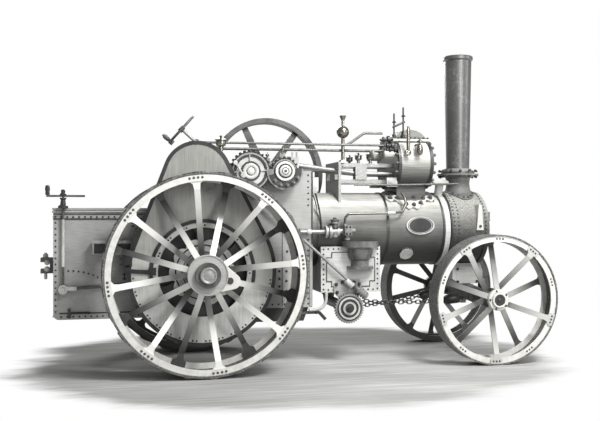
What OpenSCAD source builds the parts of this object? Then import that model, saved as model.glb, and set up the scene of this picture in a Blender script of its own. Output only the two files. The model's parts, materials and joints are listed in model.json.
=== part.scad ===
// Steam traction engine of the spring mounted road type, standing on its four wheels.
// X runs forward, Y to the engine's left and Z up. The layout is measured from the rear axle,
// and place() then moves it so that the origin is below the middle of the whole engine.

/* [Stance] */
// Distance between the rear and the front axle
wheelbase = 3260; // [3200:10:3320]
// Rear wheel's outer face, from the centre line
rear_face = 1112; // [1105:1:1130]
// Front wheel's outer face, from the centre line
front_face = 1002; // [990:1:1030]

/* [Rear wheels] */
// Radius over the strakes
rear_r = 1067; // [1060:1:1075]
// Width of the tread plate
rear_w = 457; // [440:1:460]
// Thickness of a strake
strake_t = 12; // [8:1:14]
// Width of a strake
strake_w = 70; // [50:1:85]
// Strakes in each of the two rows
strake_n = 24; // [20:1:26]
// How far a strake slants along the tread
strake_slant = 150; // [80:5:160]
// Thickness of the tread plate
tread_t = 14; // [10:1:18]
// Depth of the tee ring inside the tread
rear_ring = 72; // [60:1:90]
// Spokes in each of the two rows
rear_spokes = 8; // [6:1:9]
// Width of a rear spoke
rear_spoke_w = 62; // [50:1:70]
// Radius of the hub flange that the spokes are bolted to
rear_flange_r = 205; // [190:1:220]
// Radius of the rear axle
axle_r = 65; // [55:1:70]

/* [Front wheels] */
// Radius of the smooth tread
front_r = 730; // [720:1:740]
// Width of the tread
front_w = 255; // [240:1:260]
// Depth of the tee ring
front_ring = 64; // [50:1:70]
// Spokes in each of the two rows
front_spokes = 5; // [4:1:6]
// Width of a front spoke
front_spoke_w = 62; // [40:1:68]
// Radius of the hub flange
front_flange_r = 118; // [110:1:130]
// Radius of the stub that the front wheel runs on
stub_r = 38; // [32:1:42]

/* [Boiler] */
// Height of the boiler's centre line
boiler_z = 1510; // [1505:1:1520]
// Radius of the lagged barrel
boiler_r = 430; // [425:1:432]
// Front of the firebox, where the barrel starts
firebox_front = 1256; // [1250:1:1262]
// Back of the firebox
firebox_back = 230; // [220:1:260]
// Underside of the firebox
firebox_low = 640; // [620:1:660]
// Front of the barrel, where the smokebox starts
smokebox_x = 2935; // [2925:1:2945]
// Front of the smokebox
smokebox_front = 3400; // [3390:1:3410]
// Radius of the smokebox
smokebox_r = 440; // [438:1:445]
// Thickness of the smokebox plate
smokebox_t = 14; // [8:1:20]
// Radius of the smokebox door
door_r = 335; // [300:1:345]

/* [Chimney] */
// Top of the chimney
chimney_top = 3620; // [3500:5:3700]
// Joint between the cast base and the shaft
chimney_joint = 2180; // [2160:1:2200]
// Place of the chimney along the engine
chimney_x = 3200; // [3190:1:3210]
// Radius of the shaft at its foot
shaft_low_r = 140; // [130:1:150]
// Radius of the shaft below its lip
shaft_top_r = 165; // [150:1:170]
// Thickness of the chimney plate
chimney_t = 8; // [5:1:12]

/* [Motion] */
// Height of the crankshaft
crank_z = 2165; // [2160:1:2170]
// Place of the crankshaft
crank_x = 905; // [900:1:910]
// Radius of the crankshaft
crank_r = 52; // [46:1:56]
// Half of the piston stroke
throw = 152; // [140:1:155]
// Place of each crosshead line, from the centre line
rod_y = 190; // [185:1:195]
// Place of the near crosshead pin
crosshead_x = 1880; // [1850:5:1900]
// Radius of the flywheel
fly_r = 700; // [690:1:710]
// Width of the flywheel's rim
fly_w = 150; // [130:1:154]
// Place of the second shaft
second_x = 524; // [520:1:528]
// Radius over the teeth of the second shaft's gear
second_gear_r = 235; // [230:1:238]
// Width of the gear faces
gear_w = 68; // [60:1:70]
// Place of the third shaft
third_x = 60; // [55:1:65]
// Height of the third shaft
third_z = 1990; // [1985:1:1995]

/* [Hornplates and gear cover] */
// Thickness of a hornplate
horn_t = 14; // [10:1:16]
// Top of the hornplates
horn_top = 2180; // [2175:1:2190]
// Radius of the gear cover's lower disc
cover_low_r = 800; // [780:5:805]
// Radius of the gear cover's upper end
cover_top_r = 370; // [360:1:375]
// Outer face of the gear cover, from the centre line
cover_y = 636; // [634:1:640]
// Thickness of the gear cover's plate
cover_t = 8; // [6:1:10]
// Radius of the gear cover's opening round the axle
cover_hole_r = 480; // [440:1:500]

/* [Tender] */
// Rear of the tender
tender_rear = 1562; // [1550:1:1580]
// Top of the tender's sides
tender_top = 1757; // [1740:1:1770]
// Underside of the tender
tender_low = 572; // [560:1:590]
// Thickness of the tender's plates
plate_t = 12; // [8:1:14]
// Rear end of the drawbar block
hitch_rear = 1720; // [1700:1:1740]
// Radius of the drawbar pin's bore
hitch_bore = 22; // [18:1:26]

/* [Belly tank] */
// Rear of the tank below the barrel
tank_rear = 1354; // [1350:1:1360]
// Front of the tank below the barrel
tank_front = 2053; // [2040:1:2060]
// Underside of the tank
tank_low = 800; // [790:1:810]
// Top of the tank's sides
tank_top = 1320; // [1300:1:1330]
// Half of the tank's width
tank_y = 446; // [440:1:450]
// Thickness of the notched plate on the tank's side
tank_plate = 4; // [3:1:5]

/* [Steering] */
// Place of the steering roller
roller_x = 1666; // [1660:1:1672]
// Height of the steering roller
roller_z = 624; // [620:1:628]
// Radius of the roller that the chains wind on
roller_r = 60; // [55:1:64]
// Radius over the worm wheel's teeth
worm_wheel_r = 172; // [165:1:174]
// Teeth of the worm wheel
worm_wheel_teeth = 36; // [30:1:40]
// Radius over the worm's thread
worm_r = 50; // [46:1:50]
// Radius of the steering shaft
column_r = 17; // [14:1:18]
// Radius of the hand steering wheel
hand_r = 195; // [180:1:200]
// Radius of the pin that the front axle turns on
perch_pin_r = 30; // [26:1:34]
// Wire of the steering chain's links
chain_wire = 13; // [10:1:14]
// Pitch of the chain's links
chain_pitch = 62; // [56:1:70]

/* [Hidden] */
$fn = 96;
// Radial clearance of a running fit
run = 0.08;
// Gap between fixed pieces that seat on each other
seat = 0.3;
// Every node's name
// Depth that spokes are let into their hub flange
sunk = 4;
// Thickness of the wheels' rings and spokes, and how far a rear ring stands in from the edge
rear_plate_t = 16;
front_plate_t = 14;
rear_inset = 8;
// Middle of the engine's length, from the rear axle
mid_x = (wheelbase + front_r - hitch_rear) / 2;
// Hornplates' inner and outer faces
horn_in = boiler_r + seat;
horn_out = horn_in + horn_t;
// Feed pump's line along the hornplate, and the place and height of its delivery valve
pump_y = -horn_out - 60;
pump_z = 1490;
pump_valve_x = 1618;
pump_valve_h = 90;
// Tender's half width, bolted outside the hornplates
tender_y = horn_out + seat + plate_t;
// Rear wheel's inner face
rear_inner = rear_face - rear_w;
// Front wheel's inner face
front_inner = front_face - front_w;
// Front face of the smokebox's door ring
door_x = smokebox_front + 14;
// Hinge line of the smokebox door, and the heights of its two hinges above the boiler's axis
door_hinge_y = door_r + 30;
hinge_heights = [-150, 150];
// Length of the smokebox's front ring behind the front plate, and how far its rings stand out
ring_t = 36;
ring_h = 8;
// Radius of the flue through the smokebox and the chimney's base
flue_r = 125;
// Rear end of the hornplates
horn_rear = -215;
// Height of the second shaft
second_z = crank_z - 5;
// Radius of the second and the third shaft
counter_r = 42;
// Teeth of the second shaft's gear and of the crankshaft's pinion
second_teeth = 27;
pinion_teeth = 18;
tooth_h = 18;
// Radius over the pinion's teeth, so that both meet on their pitch lines
pinion_r = crank_x - second_x - second_gear_r + tooth_h - 2;
// Near face of the gears, and of the pinion
gear_y = -598;
// Place of the steering shaft and of the worm wheel
column_y = -505;
// Steering shaft: height above the roller of the worm's middle, and slope of the shaft
worm_gap = 8;
column_tilt = 41.7;
worm_axis = worm_wheel_r + worm_r + worm_gap;
worm_x = roller_x + worm_axis * sin(column_tilt);
worm_z = roller_z + worm_axis * cos(column_tilt);
// Length of the steering shaft above the worm's middle
column_len = 2730;
// Perch pin and the faces that turn on each other
axle_top = front_r + 60;
spring_h = 50;
perch_low = axle_top + spring_h + 6;
// Height of the gear cover's upper centre
cover_top_x = -60;
cover_top_z = 2110;
// Reach of the cylinder block
block_rear = 2300;
block_front = 2720;
block_top = 2560;
// Angle of the near crank, ahead of dead centre
crank_turn = 41;

// Moves the layout from the rear axle to the middle of the engine.
module place() {
    translate([-mid_x, 0, 0]) children();
}

// A plate in the engine's side view, from y to y + t.
module side(y, t) {
    translate([0, y + t, 0]) rotate([90, 0, 0]) linear_extrude(t) children();
}

// A round bar across the engine, from y onwards.
module across(x, z, y, l, r) {
    translate([x, y, z]) rotate([-90, 0, 0]) cylinder(h = l, r = r);
}

// A round bar along the engine, from x forwards.
module along(x, y, z, l, r) {
    translate([x, y, z]) rotate([0, 90, 0]) cylinder(h = l, r = r);
}

// A round bar between two points, which may taper.
module bar(a, b, r, r_end = 0) {
    v = b - a;
    l = norm(v);
    translate(a) rotate([0, acos(v[2] / l), atan2(v[1], v[0])])
        cylinder(h = l, r1 = r, r2 = r_end == 0 ? r : r_end);
}

// A box from its lowest to its highest corner.
module block(a, b) {
    translate(a) cube(b - a);
}

// A vector's direction.
function unit(v) = v / norm(v);

// One ring of a swept pipe, square to the path's direction t.
function ring(p, t, r, n) = let (
    ref = abs(t[1]) < 0.9 ? [0, 1, 0] : [1, 0, 0],
    out = unit(cross(t, ref)),
    up = cross(out, t)
) [for (k = [0 : n - 1]) p + r * (cos(k * 360 / n) * out + sin(k * 360 / n) * up)];

// A pipe swept along a path, with n sides.
module pipe(path, r, n = 8) {
    last = len(path) - 1;
    polyhedron(
        points = [
            for (i = [0 : last])
                each ring(path[i], unit(path[min(i + 1, last)] - path[max(i - 1, 0)]), r, n)
        ],
        faces = [
            [for (k = [n - 1 : -1 : 0]) k],
            for (i = [0 : last - 1], k = [0 : n - 1]) let (m = (k + 1) % n)
                [i * n + k, i * n + m, (i + 1) * n + m, (i + 1) * n + k],
            [for (k = [0 : n - 1]) last * n + k]
        ]
    );
}

// Copies of what mirrors to the other side of the engine.
module both_sides() {
    children();
    mirror([0, 1, 0]) children();
}

// Outline of a spur gear: tip radius, number of teeth, height of a tooth, turn in teeth.
module gear_outline(r, teeth, h, turn = 0) {
    step = 360 / teeth;
    rotate(turn * step) polygon([
        for (i = [0 : teeth - 1], c = [[-0.26, 0], [-0.13, 1], [0.13, 1], [0.26, 0]])
            (r - h + h * c[1]) * [cos((i + c[0]) * step), sin((i + c[0]) * step)]
    ]);
}

// One row of spokes, bent from the rim's ring at rim_y to the hub's flange at hub_y.
// Each spoke is a flat bar whose foot flares, in a wheel that lies flat with its axis along Z.
module spoke_row(count, turn, w, foot, foot_w, t, r_rim, r_hub, rim_y, hub_y) {
    flare = 0.35 * foot;
    full = 0.55 * foot;
    tip = sqrt(r_rim * r_rim - foot_w * foot_w / 4);
    bend = tip - foot;
    root = r_hub * 0.55;
    knee = r_hub - 16;
    for (i = [0 : count - 1]) rotate([0, 0, turn + i * 360 / count]) {
        translate([0, w / 2, 0]) rotate([90, 0, 0]) linear_extrude(w) polygon([
            [root, hub_y], [knee, hub_y], [bend, rim_y], [tip, rim_y],
            [tip, rim_y + t], [bend, rim_y + t], [knee, hub_y + t], [root, hub_y + t]
        ]);
        translate([0, 0, rim_y]) linear_extrude(t) polygon([
            [bend, -w / 2], [bend + flare, -w * 0.62], [bend + full, -foot_w / 2],
            [tip, -foot_w / 2], [tip, foot_w / 2], [bend + full, foot_w / 2],
            [bend + flare, w * 0.62], [bend, w / 2]
        ]);
    }
}

// Rim of a wheel that lies flat: tread plate and two tee rings, each let in from its edge.
module rim(r, w, t, ring, ring_t, inset) {
    inner = r - t;
    rotate_extrude() polygon([
        [inner - ring, inset], [inner, inset], [inner, 0], [r, 0], [r, w], [inner, w],
        [inner, w - inset], [inner - ring, w - inset], [inner - ring, w - inset - ring_t],
        [inner, w - inset - ring_t], [inner, inset + ring_t], [inner - ring, inset + ring_t]
    ]);
}

// Strakes of a rear wheel: two rows of slanting bars, curved with the tread.
module strakes() {
    half = rear_w / 2 - 6;
    base = rear_r - strake_t;
    intersection() {
        difference() {
            cylinder(h = rear_w, r = rear_r, $fn = 180);
            translate([0, 0, -1]) cylinder(h = rear_w + 2, r = base - tread_t / 2, $fn = 180);
        }
        union() for (row = [0, 1], i = [0 : strake_n - 1])
            rotate([0, 0, (i + row / 2) * 360 / strake_n])
                translate([base - 40, 0, rear_w / 2]) mirror([0, 0, row])
                    rotate([90, 0, 90]) linear_extrude(80) polygon([
                        [-(strake_slant + strake_w) / 2, 3],
                        [-(strake_slant - strake_w) / 2, 3],
                        [(strake_slant + strake_w) / 2, half],
                        [(strake_slant - strake_w) / 2, half]
                    ]);
    }
}

// Rear wheel's rim, flat, its outer face at z = 0.
module rear_rim() {
    rim(rear_r - strake_t, rear_w, tread_t, rear_ring, rear_plate_t, rear_inset, $fn = 180);
    strakes();
}

// Rear wheel's hub and spokes, flat, outer face at z = 0. The bore is blind.
module rear_hub() {
    spoke_t = rear_plate_t;
    foot_y = rear_inset + rear_plate_t;
    near_flange = 70;
    far_flange = rear_w - 60;
    ring_in = rear_r - strake_t - tread_t;
    foot_in = ring_in - 2 * seat;
    difference() {
        union() {
            translate([0, 0, -40]) cylinder(h = rear_w + 30, r = 128);
            translate([0, 0, near_flange - 30]) cylinder(h = 30 + sunk, r = rear_flange_r);
            translate([0, 0, far_flange + spoke_t - sunk]) cylinder(h = 26, r = rear_flange_r);
            spoke_row(rear_spokes, -7, rear_spoke_w, 150, 150, spoke_t, foot_in, rear_flange_r,
                foot_y, far_flange);
            spoke_row(rear_spokes, -29.5, rear_spoke_w, 150, 150, spoke_t, foot_in,
                rear_flange_r, rear_w - foot_y - spoke_t, near_flange);
        }
        translate([0, 0, 6]) cylinder(h = rear_w, r = axle_r + run);
    }
    translate([0, 0, -66]) cylinder(h = 27, r = 80);
}

// Front wheel's rim, flat, outer face at z = 0. Its rings leave room for the spokes' feet.
module front_rim() {
    rim(front_r, front_w, front_plate_t, front_ring, front_plate_t, front_plate_t, $fn = 144);
}

// Front wheel's hub and spokes, flat, outer face at z = 0.
module front_hub() {
    spoke_t = front_plate_t;
    near_flange = 40;
    far_flange = front_w - 52;
    foot_in = front_r - front_plate_t - 2 * seat;
    difference() {
        union() {
            translate([0, 0, -30]) cylinder(h = front_w + 10, r = 82);
            translate([0, 0, near_flange - 24]) cylinder(h = 24 + sunk, r = front_flange_r);
            translate([0, 0, far_flange + spoke_t - sunk]) cylinder(h = 22, r = front_flange_r);
            spoke_row(front_spokes, 92, front_spoke_w, 110, 140, spoke_t, foot_in,
                front_flange_r, 0, far_flange);
            spoke_row(front_spokes, -88, front_spoke_w, 110, 140, spoke_t, foot_in,
                front_flange_r, front_w - spoke_t, near_flange);
        }
        translate([0, 0, 0]) cylinder(h = front_w, r = stub_r + run);
    }
}

// Stands a flat wheel on its axle, outer face towards the near side (-Y).
module stand_near(x, z, face) {
    translate([x, -face, z]) rotate([-90, 0, 0]) children();
}

// Lagged barrel with its three bands and the octagonal plate over a mud hole.
module boiler() {
    band_w = 40;
    mud_x = 2410;
    color("slategray") place() union() {
        along(firebox_front + seat, 0, boiler_z, smokebox_x - firebox_front - seat, boiler_r);
        for (x = [firebox_front + 68, 2163, smokebox_x - 60])
            along(x - band_w / 2, 0, boiler_z, band_w, boiler_r + 5);
        translate([mud_x, 0, boiler_z]) rotate([130, 0, 0])
            cylinder(h = boiler_r + 14, r = 88, $fn = 8);
    }
}

// Firebox between the hornplates, with a recessed fire hole in its back.
module firebox() {
    hole_z = 1330;
    color("dimgray") place() difference() {
        union() {
            block([firebox_back, -boiler_r, firebox_low], [firebox_front, boiler_r, boiler_z]);
            along(firebox_back, 0, boiler_z, firebox_front - firebox_back, boiler_r);
            for (e = [-1, 1]) translate([firebox_back - 26, 178, hole_z - 10 + e * (70 + seat)])
                cube([28, 24, 20]);
        }
        along(firebox_back - 1, 0, hole_z, 90, 140);
    }
}

// Door over the fire hole, hung at its left edge.
module fire_door() {
    hole_z = 1330;
    color("black") place() {
        along(firebox_back - 14, 0, hole_z, 14 - seat, 165);
        block([firebox_back - 14, 120, hole_z - 60], [firebox_back - 4, 190, hole_z + 60]);
        translate([firebox_back - 14, 190, hole_z - 60]) cylinder(h = 120, r = 12);
        along(firebox_back - 60, -110, hole_z, 47, 10);
    }
}

// Side plates that carry the shafts and the rear axle, one on each side.
module hornplates() {
    color("gray") place() both_sides() difference() {
        side(horn_in, horn_t) polygon([
            [horn_rear, 900], [horn_rear, 1620], [-70, horn_top], [firebox_front, horn_top],
            [firebox_front, firebox_low], [150, firebox_low]
        ]);
        across(0, rear_r, horn_in - 1, horn_t + 2, axle_r + seat);
        across(crank_x, crank_z, horn_in - 1, horn_t + 2, crank_r + seat);
        across(second_x, second_z, horn_in - 1, horn_t + 2, counter_r + seat);
        across(third_x, third_z, horn_in - 1, horn_t + 2, counter_r + seat);
    }
}

// Bearing brackets on the outside of both hornplates, and the guard below the near pinion.
module shaft_bearings() {
    guard_r = 206;
    guard_hole_r = 128;
    guard_t = 12;
    guard_y = gear_y - guard_t - 4;
    stud_ring = 186;
    stud_r = 13;
    stud_len = -horn_out - seat - guard_y - guard_t + 1;
    color("dimgray") place() {
        difference() {
            across(crank_x, crank_z, guard_y, guard_t, guard_r);
            across(crank_x, crank_z, guard_y - 1, guard_t + 2, guard_hole_r);
            block([crank_x - guard_r - 1, guard_y - 1, crank_z + 20],
                [crank_x + guard_r + 1, guard_y + guard_t + 1, crank_z + guard_r + 1]);
        }
        for (a = [-35, -75, -115])
            across(crank_x + stud_ring * cos(a), crank_z + stud_ring * sin(a),
                guard_y + guard_t - 1, stud_len, stud_r);
        both_sides() {
            difference() {
                union() {
                    across(crank_x, crank_z, horn_out + seat, 24, 150);
                    block([crank_x - 30, horn_out + seat, crank_z],
                        [crank_x + 30, horn_out + seat + 24, crank_z + 210]);
                }
                across(crank_x, crank_z, horn_out, 30, crank_r + seat);
            }
            difference() {
                across(0, rear_r, horn_out + seat, 24, 130);
                across(0, rear_r, horn_out, 30, axle_r + seat);
            }
        }
    }
}

// Crankshaft with two throws, its pinion and the near end's cap.
module crankshaft() {
    web_t = 46;
    web_gap = 70;
    near_end = gear_y - 25;
    far_end = horn_out + 200;
    color("silver") place() translate([crank_x, 0, crank_z]) {
        difference() {
            union() {
                across(0, 0, near_end, far_end - near_end, crank_r);
                for (s = [[-rod_y, crank_turn], [rod_y, crank_turn + 90]])
                    translate([0, s[0], 0]) rotate([0, -s[1], 0]) {
                        across(throw, 0, -web_gap / 2 - 1, web_gap + 2, crank_r);
                        for (d = [-1, 1])
                            block([-62, d > 0 ? web_gap / 2 : -web_gap / 2 - web_t, -58],
                                [throw + 62, d > 0 ? web_gap / 2 + web_t : -web_gap / 2, 58]);
                    }
                translate([0, gear_y + gear_w, 0]) rotate([90, 0, 0])
                    linear_extrude(gear_w) gear_outline(pinion_r, pinion_teeth, tooth_h, 0.5);
                across(0, 0, near_end, 40, 104);
            }
            for (s = [-rod_y, rod_y])
                block([-crank_r - 5, s - web_gap / 2, -crank_r - 5],
                    [crank_r + 5, s + web_gap / 2, crank_r + 5]);
        }
    }
}

// Flywheel with six tapered arms.
module flywheel() {
    rim_h = 66;
    y = horn_out + 30;
    color("gray") place() translate([crank_x, y, crank_z]) rotate([-90, 0, 0]) difference() {
        union() {
            rotate_extrude($fn = 144) translate([fly_r - rim_h, 0]) square([rim_h, fly_w]);
            cylinder(h = fly_w, r = 105);
            for (i = [0 : 5]) rotate([0, 0, 5 + i * 60])
                translate([0, 0, fly_w / 2 - 19]) linear_extrude(38)
                    polygon([[60, -52], [fly_r - 20, -34], [fly_r - 20, 34], [60, 52]]);
        }
        translate([0, 0, -1]) cylinder(h = fly_w + 2, r = crank_r + seat);
    }
}

// Second shaft with its gear.
module second_shaft() {
    color("darkgray") place() translate([second_x, 0, second_z]) {
        across(0, 0, gear_y - 12, horn_out + 40 - gear_y + 12, counter_r);
        difference() {
            translate([0, gear_y + gear_w, 0]) rotate([90, 0, 0])
                linear_extrude(gear_w) gear_outline(second_gear_r, second_teeth, tooth_h);
            difference() {
                across(0, 0, gear_y - 1, 20, second_gear_r - 50);
                across(0, 0, gear_y - 2, 30, 112);
            }
            across(0, 0, gear_y - 1, gear_w + 2, counter_r - 1);
        }
    }
}

// Third shaft, which ends in a boss on the gear cover.
module third_shaft() {
    color("darkgray") place() {
        across(third_x, third_z, -cover_y, cover_y + horn_out + 40, counter_r);
        across(third_x, third_z, -cover_y - 10, 10, 64);
    }
}

// Large gear on the rear axle, behind the cover.
module main_gear() {
    color("dimgray") place() difference() {
        translate([0, gear_y + gear_w, rear_r]) rotate([90, 0, 0]) linear_extrude(gear_w)
            gear_outline(740, 74, tooth_h);
        across(0, rear_r, gear_y - 1, gear_w + 2, axle_r + seat);
        for (i = [0 : 5]) rotate_about(0, rear_r, 30 + i * 60)
            across(0, 430 + rear_r, gear_y - 1, gear_w + 2, 150);
    }
}

// Turns what is drawn about an axis across the engine.
module rotate_about(x, z, a) {
    translate([x, 0, z]) rotate([0, a, 0]) translate([-x, 0, -z]) children();
}

// Outline of the pear-shaped gear cover, made of two discs and the plate between their tangents.
module cover_outline(grow) {
    d = [cover_top_x, cover_top_z - rear_r];
    l = norm(d);
    lean = atan2(d[1], d[0]);
    spread = acos((cover_low_r - cover_top_r) / l);
    low = cover_low_r + grow;
    top = cover_top_r + grow;
    union() {
        translate([0, rear_r]) circle(r = low, $fn = 180);
        translate([cover_top_x, cover_top_z]) circle(r = top, $fn = 144);
        polygon([
            [low * cos(lean - spread), rear_r + low * sin(lean - spread)],
            [cover_top_x + top * cos(lean - spread), cover_top_z + top * sin(lean - spread)],
            [cover_top_x + top * cos(lean + spread), cover_top_z + top * sin(lean + spread)],
            [low * cos(lean + spread), rear_r + low * sin(lean + spread)]
        ]);
    }
}

// Cover over the gears on the near side, a pear-shaped plate with a flange round its edge.
module gear_cover() {
    flange = 36;
    color("gray") place() difference() {
        side(-cover_y, flange) cover_outline(0);
        side(-cover_y + cover_t, flange) cover_outline(-8);
        across(0, rear_r, -cover_y - 1, flange + 2, cover_hole_r);
        across(third_x, third_z, -cover_y - 1, flange + 2, counter_r + seat);
    }
}

// Scalloped flange of the winding drum, in the gear cover's opening.
module winding_drum() {
    lobes = 10;
    lobe_r = 100;
    reach = 262;
    y = -cover_y + 10;
    color("silver") place() difference() {
        union() {
            side(y, 14) translate([0, rear_r]) union() {
                circle(r = 290);
                for (i = [0 : lobes - 1]) rotate(i * 360 / lobes) translate([reach, 0])
                    circle(r = lobe_r);
            }
            across(0, rear_r, y, gear_y - seat - y, 130);
        }
        across(0, rear_r, y - 1, 60, axle_r + seat);
    }
}

// Rear axle across the engine.
module rear_axle() {
    reach = rear_face - 12;
    color("darkgray") place() {
        across(0, rear_r, -reach, 2 * reach, axle_r);
        both_sides() difference() {
            across(0, rear_r, horn_out + 26, -gear_y - gear_w - horn_out - 28, 96);
            across(0, rear_r, horn_out + 20, -gear_y - gear_w - horn_out, axle_r + seat);
        }
    }
}

// Side view of the tender's outer plates.
module tender_outline() {
    corner = 60;
    difference() {
        polygon([
            [-tender_rear, tender_low], [-tender_rear, tender_top], [-500, tender_top],
            [-215, 1560], [-100, 1560], [-100, 1200], [horn_rear - 6, 1100],
            [horn_rear - 6, tender_low]
        ]);
        translate([-tender_rear, tender_low]) difference() {
            translate([-1, -1]) square(corner + 1);
            translate([corner, corner]) circle(r = corner);
        }
    }
}

// Tender: coal bunker over a water tank, and the driver's stand in front of it.
module tender() {
    inner_y = tender_y - plate_t;
    wall_x = -930;
    bunker_floor = 1080;
    stand_floor = 690;
    color("slategray") place() {
        difference() {
            side(-tender_y, 2 * tender_y) tender_outline();
            block([-tender_rear + plate_t, -inner_y, bunker_floor],
                [wall_x, inner_y, tender_top + 1]);
            block([wall_x + plate_t, -inner_y, stand_floor], [0, inner_y, tender_top + 1]);
            block([-860, 0, 1150], [-420, tender_y + 1, tender_top + 1]);
        }
        for (s = [-1, 1])
            block([-tender_rear - 10, s > 0 ? tender_y : -tender_y - 8, tender_top - 22],
                [s > 0 ? -860 : -500, s > 0 ? tender_y + 8 : -tender_y, tender_top]);
        block([-1157, -tender_y - 95, 1262], [-745, -tender_y, 1404]);
    }
}

// Hand brake: crank, column outside the tender and pull rod.
module brake_gear() {
    x = -1460;
    y = -tender_y - 26;
    eye_z = 895;
    color("dimgray") place() {
        bar([x, y, eye_z + 40], [x, y, 1872], 12);
        across(x, eye_z, y - 14, 28, 52);
        bar([x, y, 1757], [x, y, 1772], 34);
        block([x - 170, y - 14, 1872], [x + 225, y + 14, 1894]);
        bar([x - 158, y, 1894], [x - 158, y, 1995], 14);
        bar([x + 50, y, eye_z + 4], [-560, y, eye_z + 60], 16);
        bar([x, y, 1000], [x, -tender_y, 1000], 14);
        bar([x, y, 1700], [x, -tender_y, 1700], 14);
    }
}

// Drawbar block on the tender's rear, with the bore for the drawbar pin.
module drawbar() {
    low = 1040;
    high = 1210;
    jaw = 46;
    color("dimgray") place() difference() {
        union() {
            block([-tender_rear - 14, -150, low - 20], [-tender_rear - seat, 150, high + 20]);
            block([-hitch_rear, -80, low], [-tender_rear - 10, 80, high]);
        }
        block([-hitch_rear - 1, -81, low + jaw], [-tender_rear - 60, 81, high - jaw]);
        translate([-hitch_rear + 50, 0, low - 1]) cylinder(h = high - low + 2, r = hitch_bore);
    }
}

// Ashpan below the firebox, with its damper bar.
module ashpan() {
    color("black") place() {
        side(-380, 760) polygon([
            [280, firebox_low - seat], [firebox_front - 30, firebox_low - seat],
            [firebox_front - 90, 480], [340, 480]
        ]);
        block([1000, -430, 560], [1340, -380, 590]);
    }
}

// Hollow smokebox with a tube plate at its back and a ring at its front.
module smokebox() {
    ring_r = smokebox_r + ring_h;
    color("black") place() {
        difference() {
            union() {
                along(smokebox_x + seat, 0, boiler_z, smokebox_front - smokebox_x, smokebox_r);
                along(smokebox_x + seat, 0, boiler_z, 60, ring_r);
                along(smokebox_front - ring_t, 0, boiler_z, ring_t + 14, ring_r);
                for (dz = hinge_heights, e = [-1, 1])
                    translate([door_x, -door_hinge_y - 18, boiler_z + dz + e * 45 - 10])
                        cube([36, 36, 20]);
            }
            along(smokebox_x + 60, 0, boiler_z, smokebox_front - smokebox_x - 60,
                smokebox_r - smokebox_t);
            along(smokebox_x + 100, 0, boiler_z, 500, door_r - 15);
            translate([chimney_x, 0, boiler_z]) cylinder(h = 500, r = flue_r);
        }
    }
}

// Tapered bracket for a road lamp on each side of the smokebox.
module lamp_brackets() {
    x = smokebox_front - 112.5;
    foot_w = 85;
    tip_w = 35;
    low = 1500;
    tall = 300;
    reach = smokebox_r + 22;
    color("whitesmoke") place() both_sides() difference() {
        side(reach - 140, 140) polygon([
            [x - foot_w / 2, low], [x + foot_w / 2, low],
            [x + tip_w / 2, low + tall], [x - tip_w / 2, low + tall]
        ]);
        along(smokebox_x, 0, boiler_z, 500, smokebox_r + seat);
    }
}

// Dished smokebox door with its central dart and two hinge straps.
module smokebox_door() {
    bulge = 46;
    edge = 12;
    dish_r = (door_r * door_r + bulge * bulge) / (2 * bulge);
    x = door_x + seat;
    pin_x = x + 22;
    color("dimgray") place() {
        translate([x, 0, boiler_z]) rotate([0, 90, 0]) {
            rotate_extrude($fn = 96) intersection() {
                translate([0, bulge + edge - dish_r]) circle(r = dish_r, $fn = 360);
                square([door_r, bulge + edge + 1]);
            }
            cylinder(h = bulge + edge + 50, r = 26);
            for (i = [0, 1]) translate([0, 0, bulge + edge + 8 + i * 24]) rotate([0, 0, 30 + i * 50])
                translate([-12, -12, 0]) cube([150, 24, 12]);
        }
        for (dz = hinge_heights) {
            block([pin_x - 12, -door_hinge_y, boiler_z + dz - 20],
                [pin_x + 6, -door_r + 90, boiler_z + dz + 20]);
            translate([pin_x, -door_hinge_y, boiler_z + dz - 35 + seat])
                cylinder(h = 70 - 2 * seat, r = 16);
        }
    }
}

// Cast base of the chimney, seated on the smokebox.
module chimney_base() {
    saddle_z = boiler_z + smokebox_r;
    flange_r = 200;
    flange_t = 13;
    color("black") place() difference() {
        union() {
            intersection() {
                along(chimney_x - flange_r - 1, 0, boiler_z, 2 * flange_r + 2, smokebox_r + flange_t);
                translate([chimney_x, 0, boiler_z]) cylinder(h = 600, r = flange_r, $fn = 96);
            }
            translate([chimney_x, 0, 0]) rotate_extrude($fn = 96) polygon([
                [flue_r, saddle_z - 90], [168, saddle_z - 90], [164, saddle_z - 10],
                [146, saddle_z + 60], [140, saddle_z + 120], [150, chimney_joint - 50],
                [200, chimney_joint - 24], [250, chimney_joint - 22], [250, chimney_joint],
                [flue_r, chimney_joint]
            ]);
        }
        along(chimney_x - 400, 0, boiler_z, 800, smokebox_r + seat);
        along(smokebox_front - ring_t - seat, 0, boiler_z, ring_t + 20, smokebox_r + ring_h + seat);
        translate([chimney_x, 0, boiler_z]) cylinder(h = chimney_top, r = flue_r, $fn = 96);
    }
}

// Tapered chimney shaft with a rolled lip.
module chimney() {
    foot = chimney_joint + seat;
    color("dimgray") place() translate([chimney_x, 0, 0]) rotate_extrude($fn = 96) polygon([
        [shaft_low_r - chimney_t, foot], [200, foot], [200, foot + 22],
        [shaft_low_r + 12, foot + 26], [shaft_low_r, foot + 60],
        [shaft_top_r, chimney_top - 60], [shaft_top_r + 16, chimney_top - 44],
        [shaft_top_r + 18, chimney_top - 12], [shaft_top_r + 8, chimney_top],
        [shaft_top_r - chimney_t, chimney_top]
    ]);
}

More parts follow.
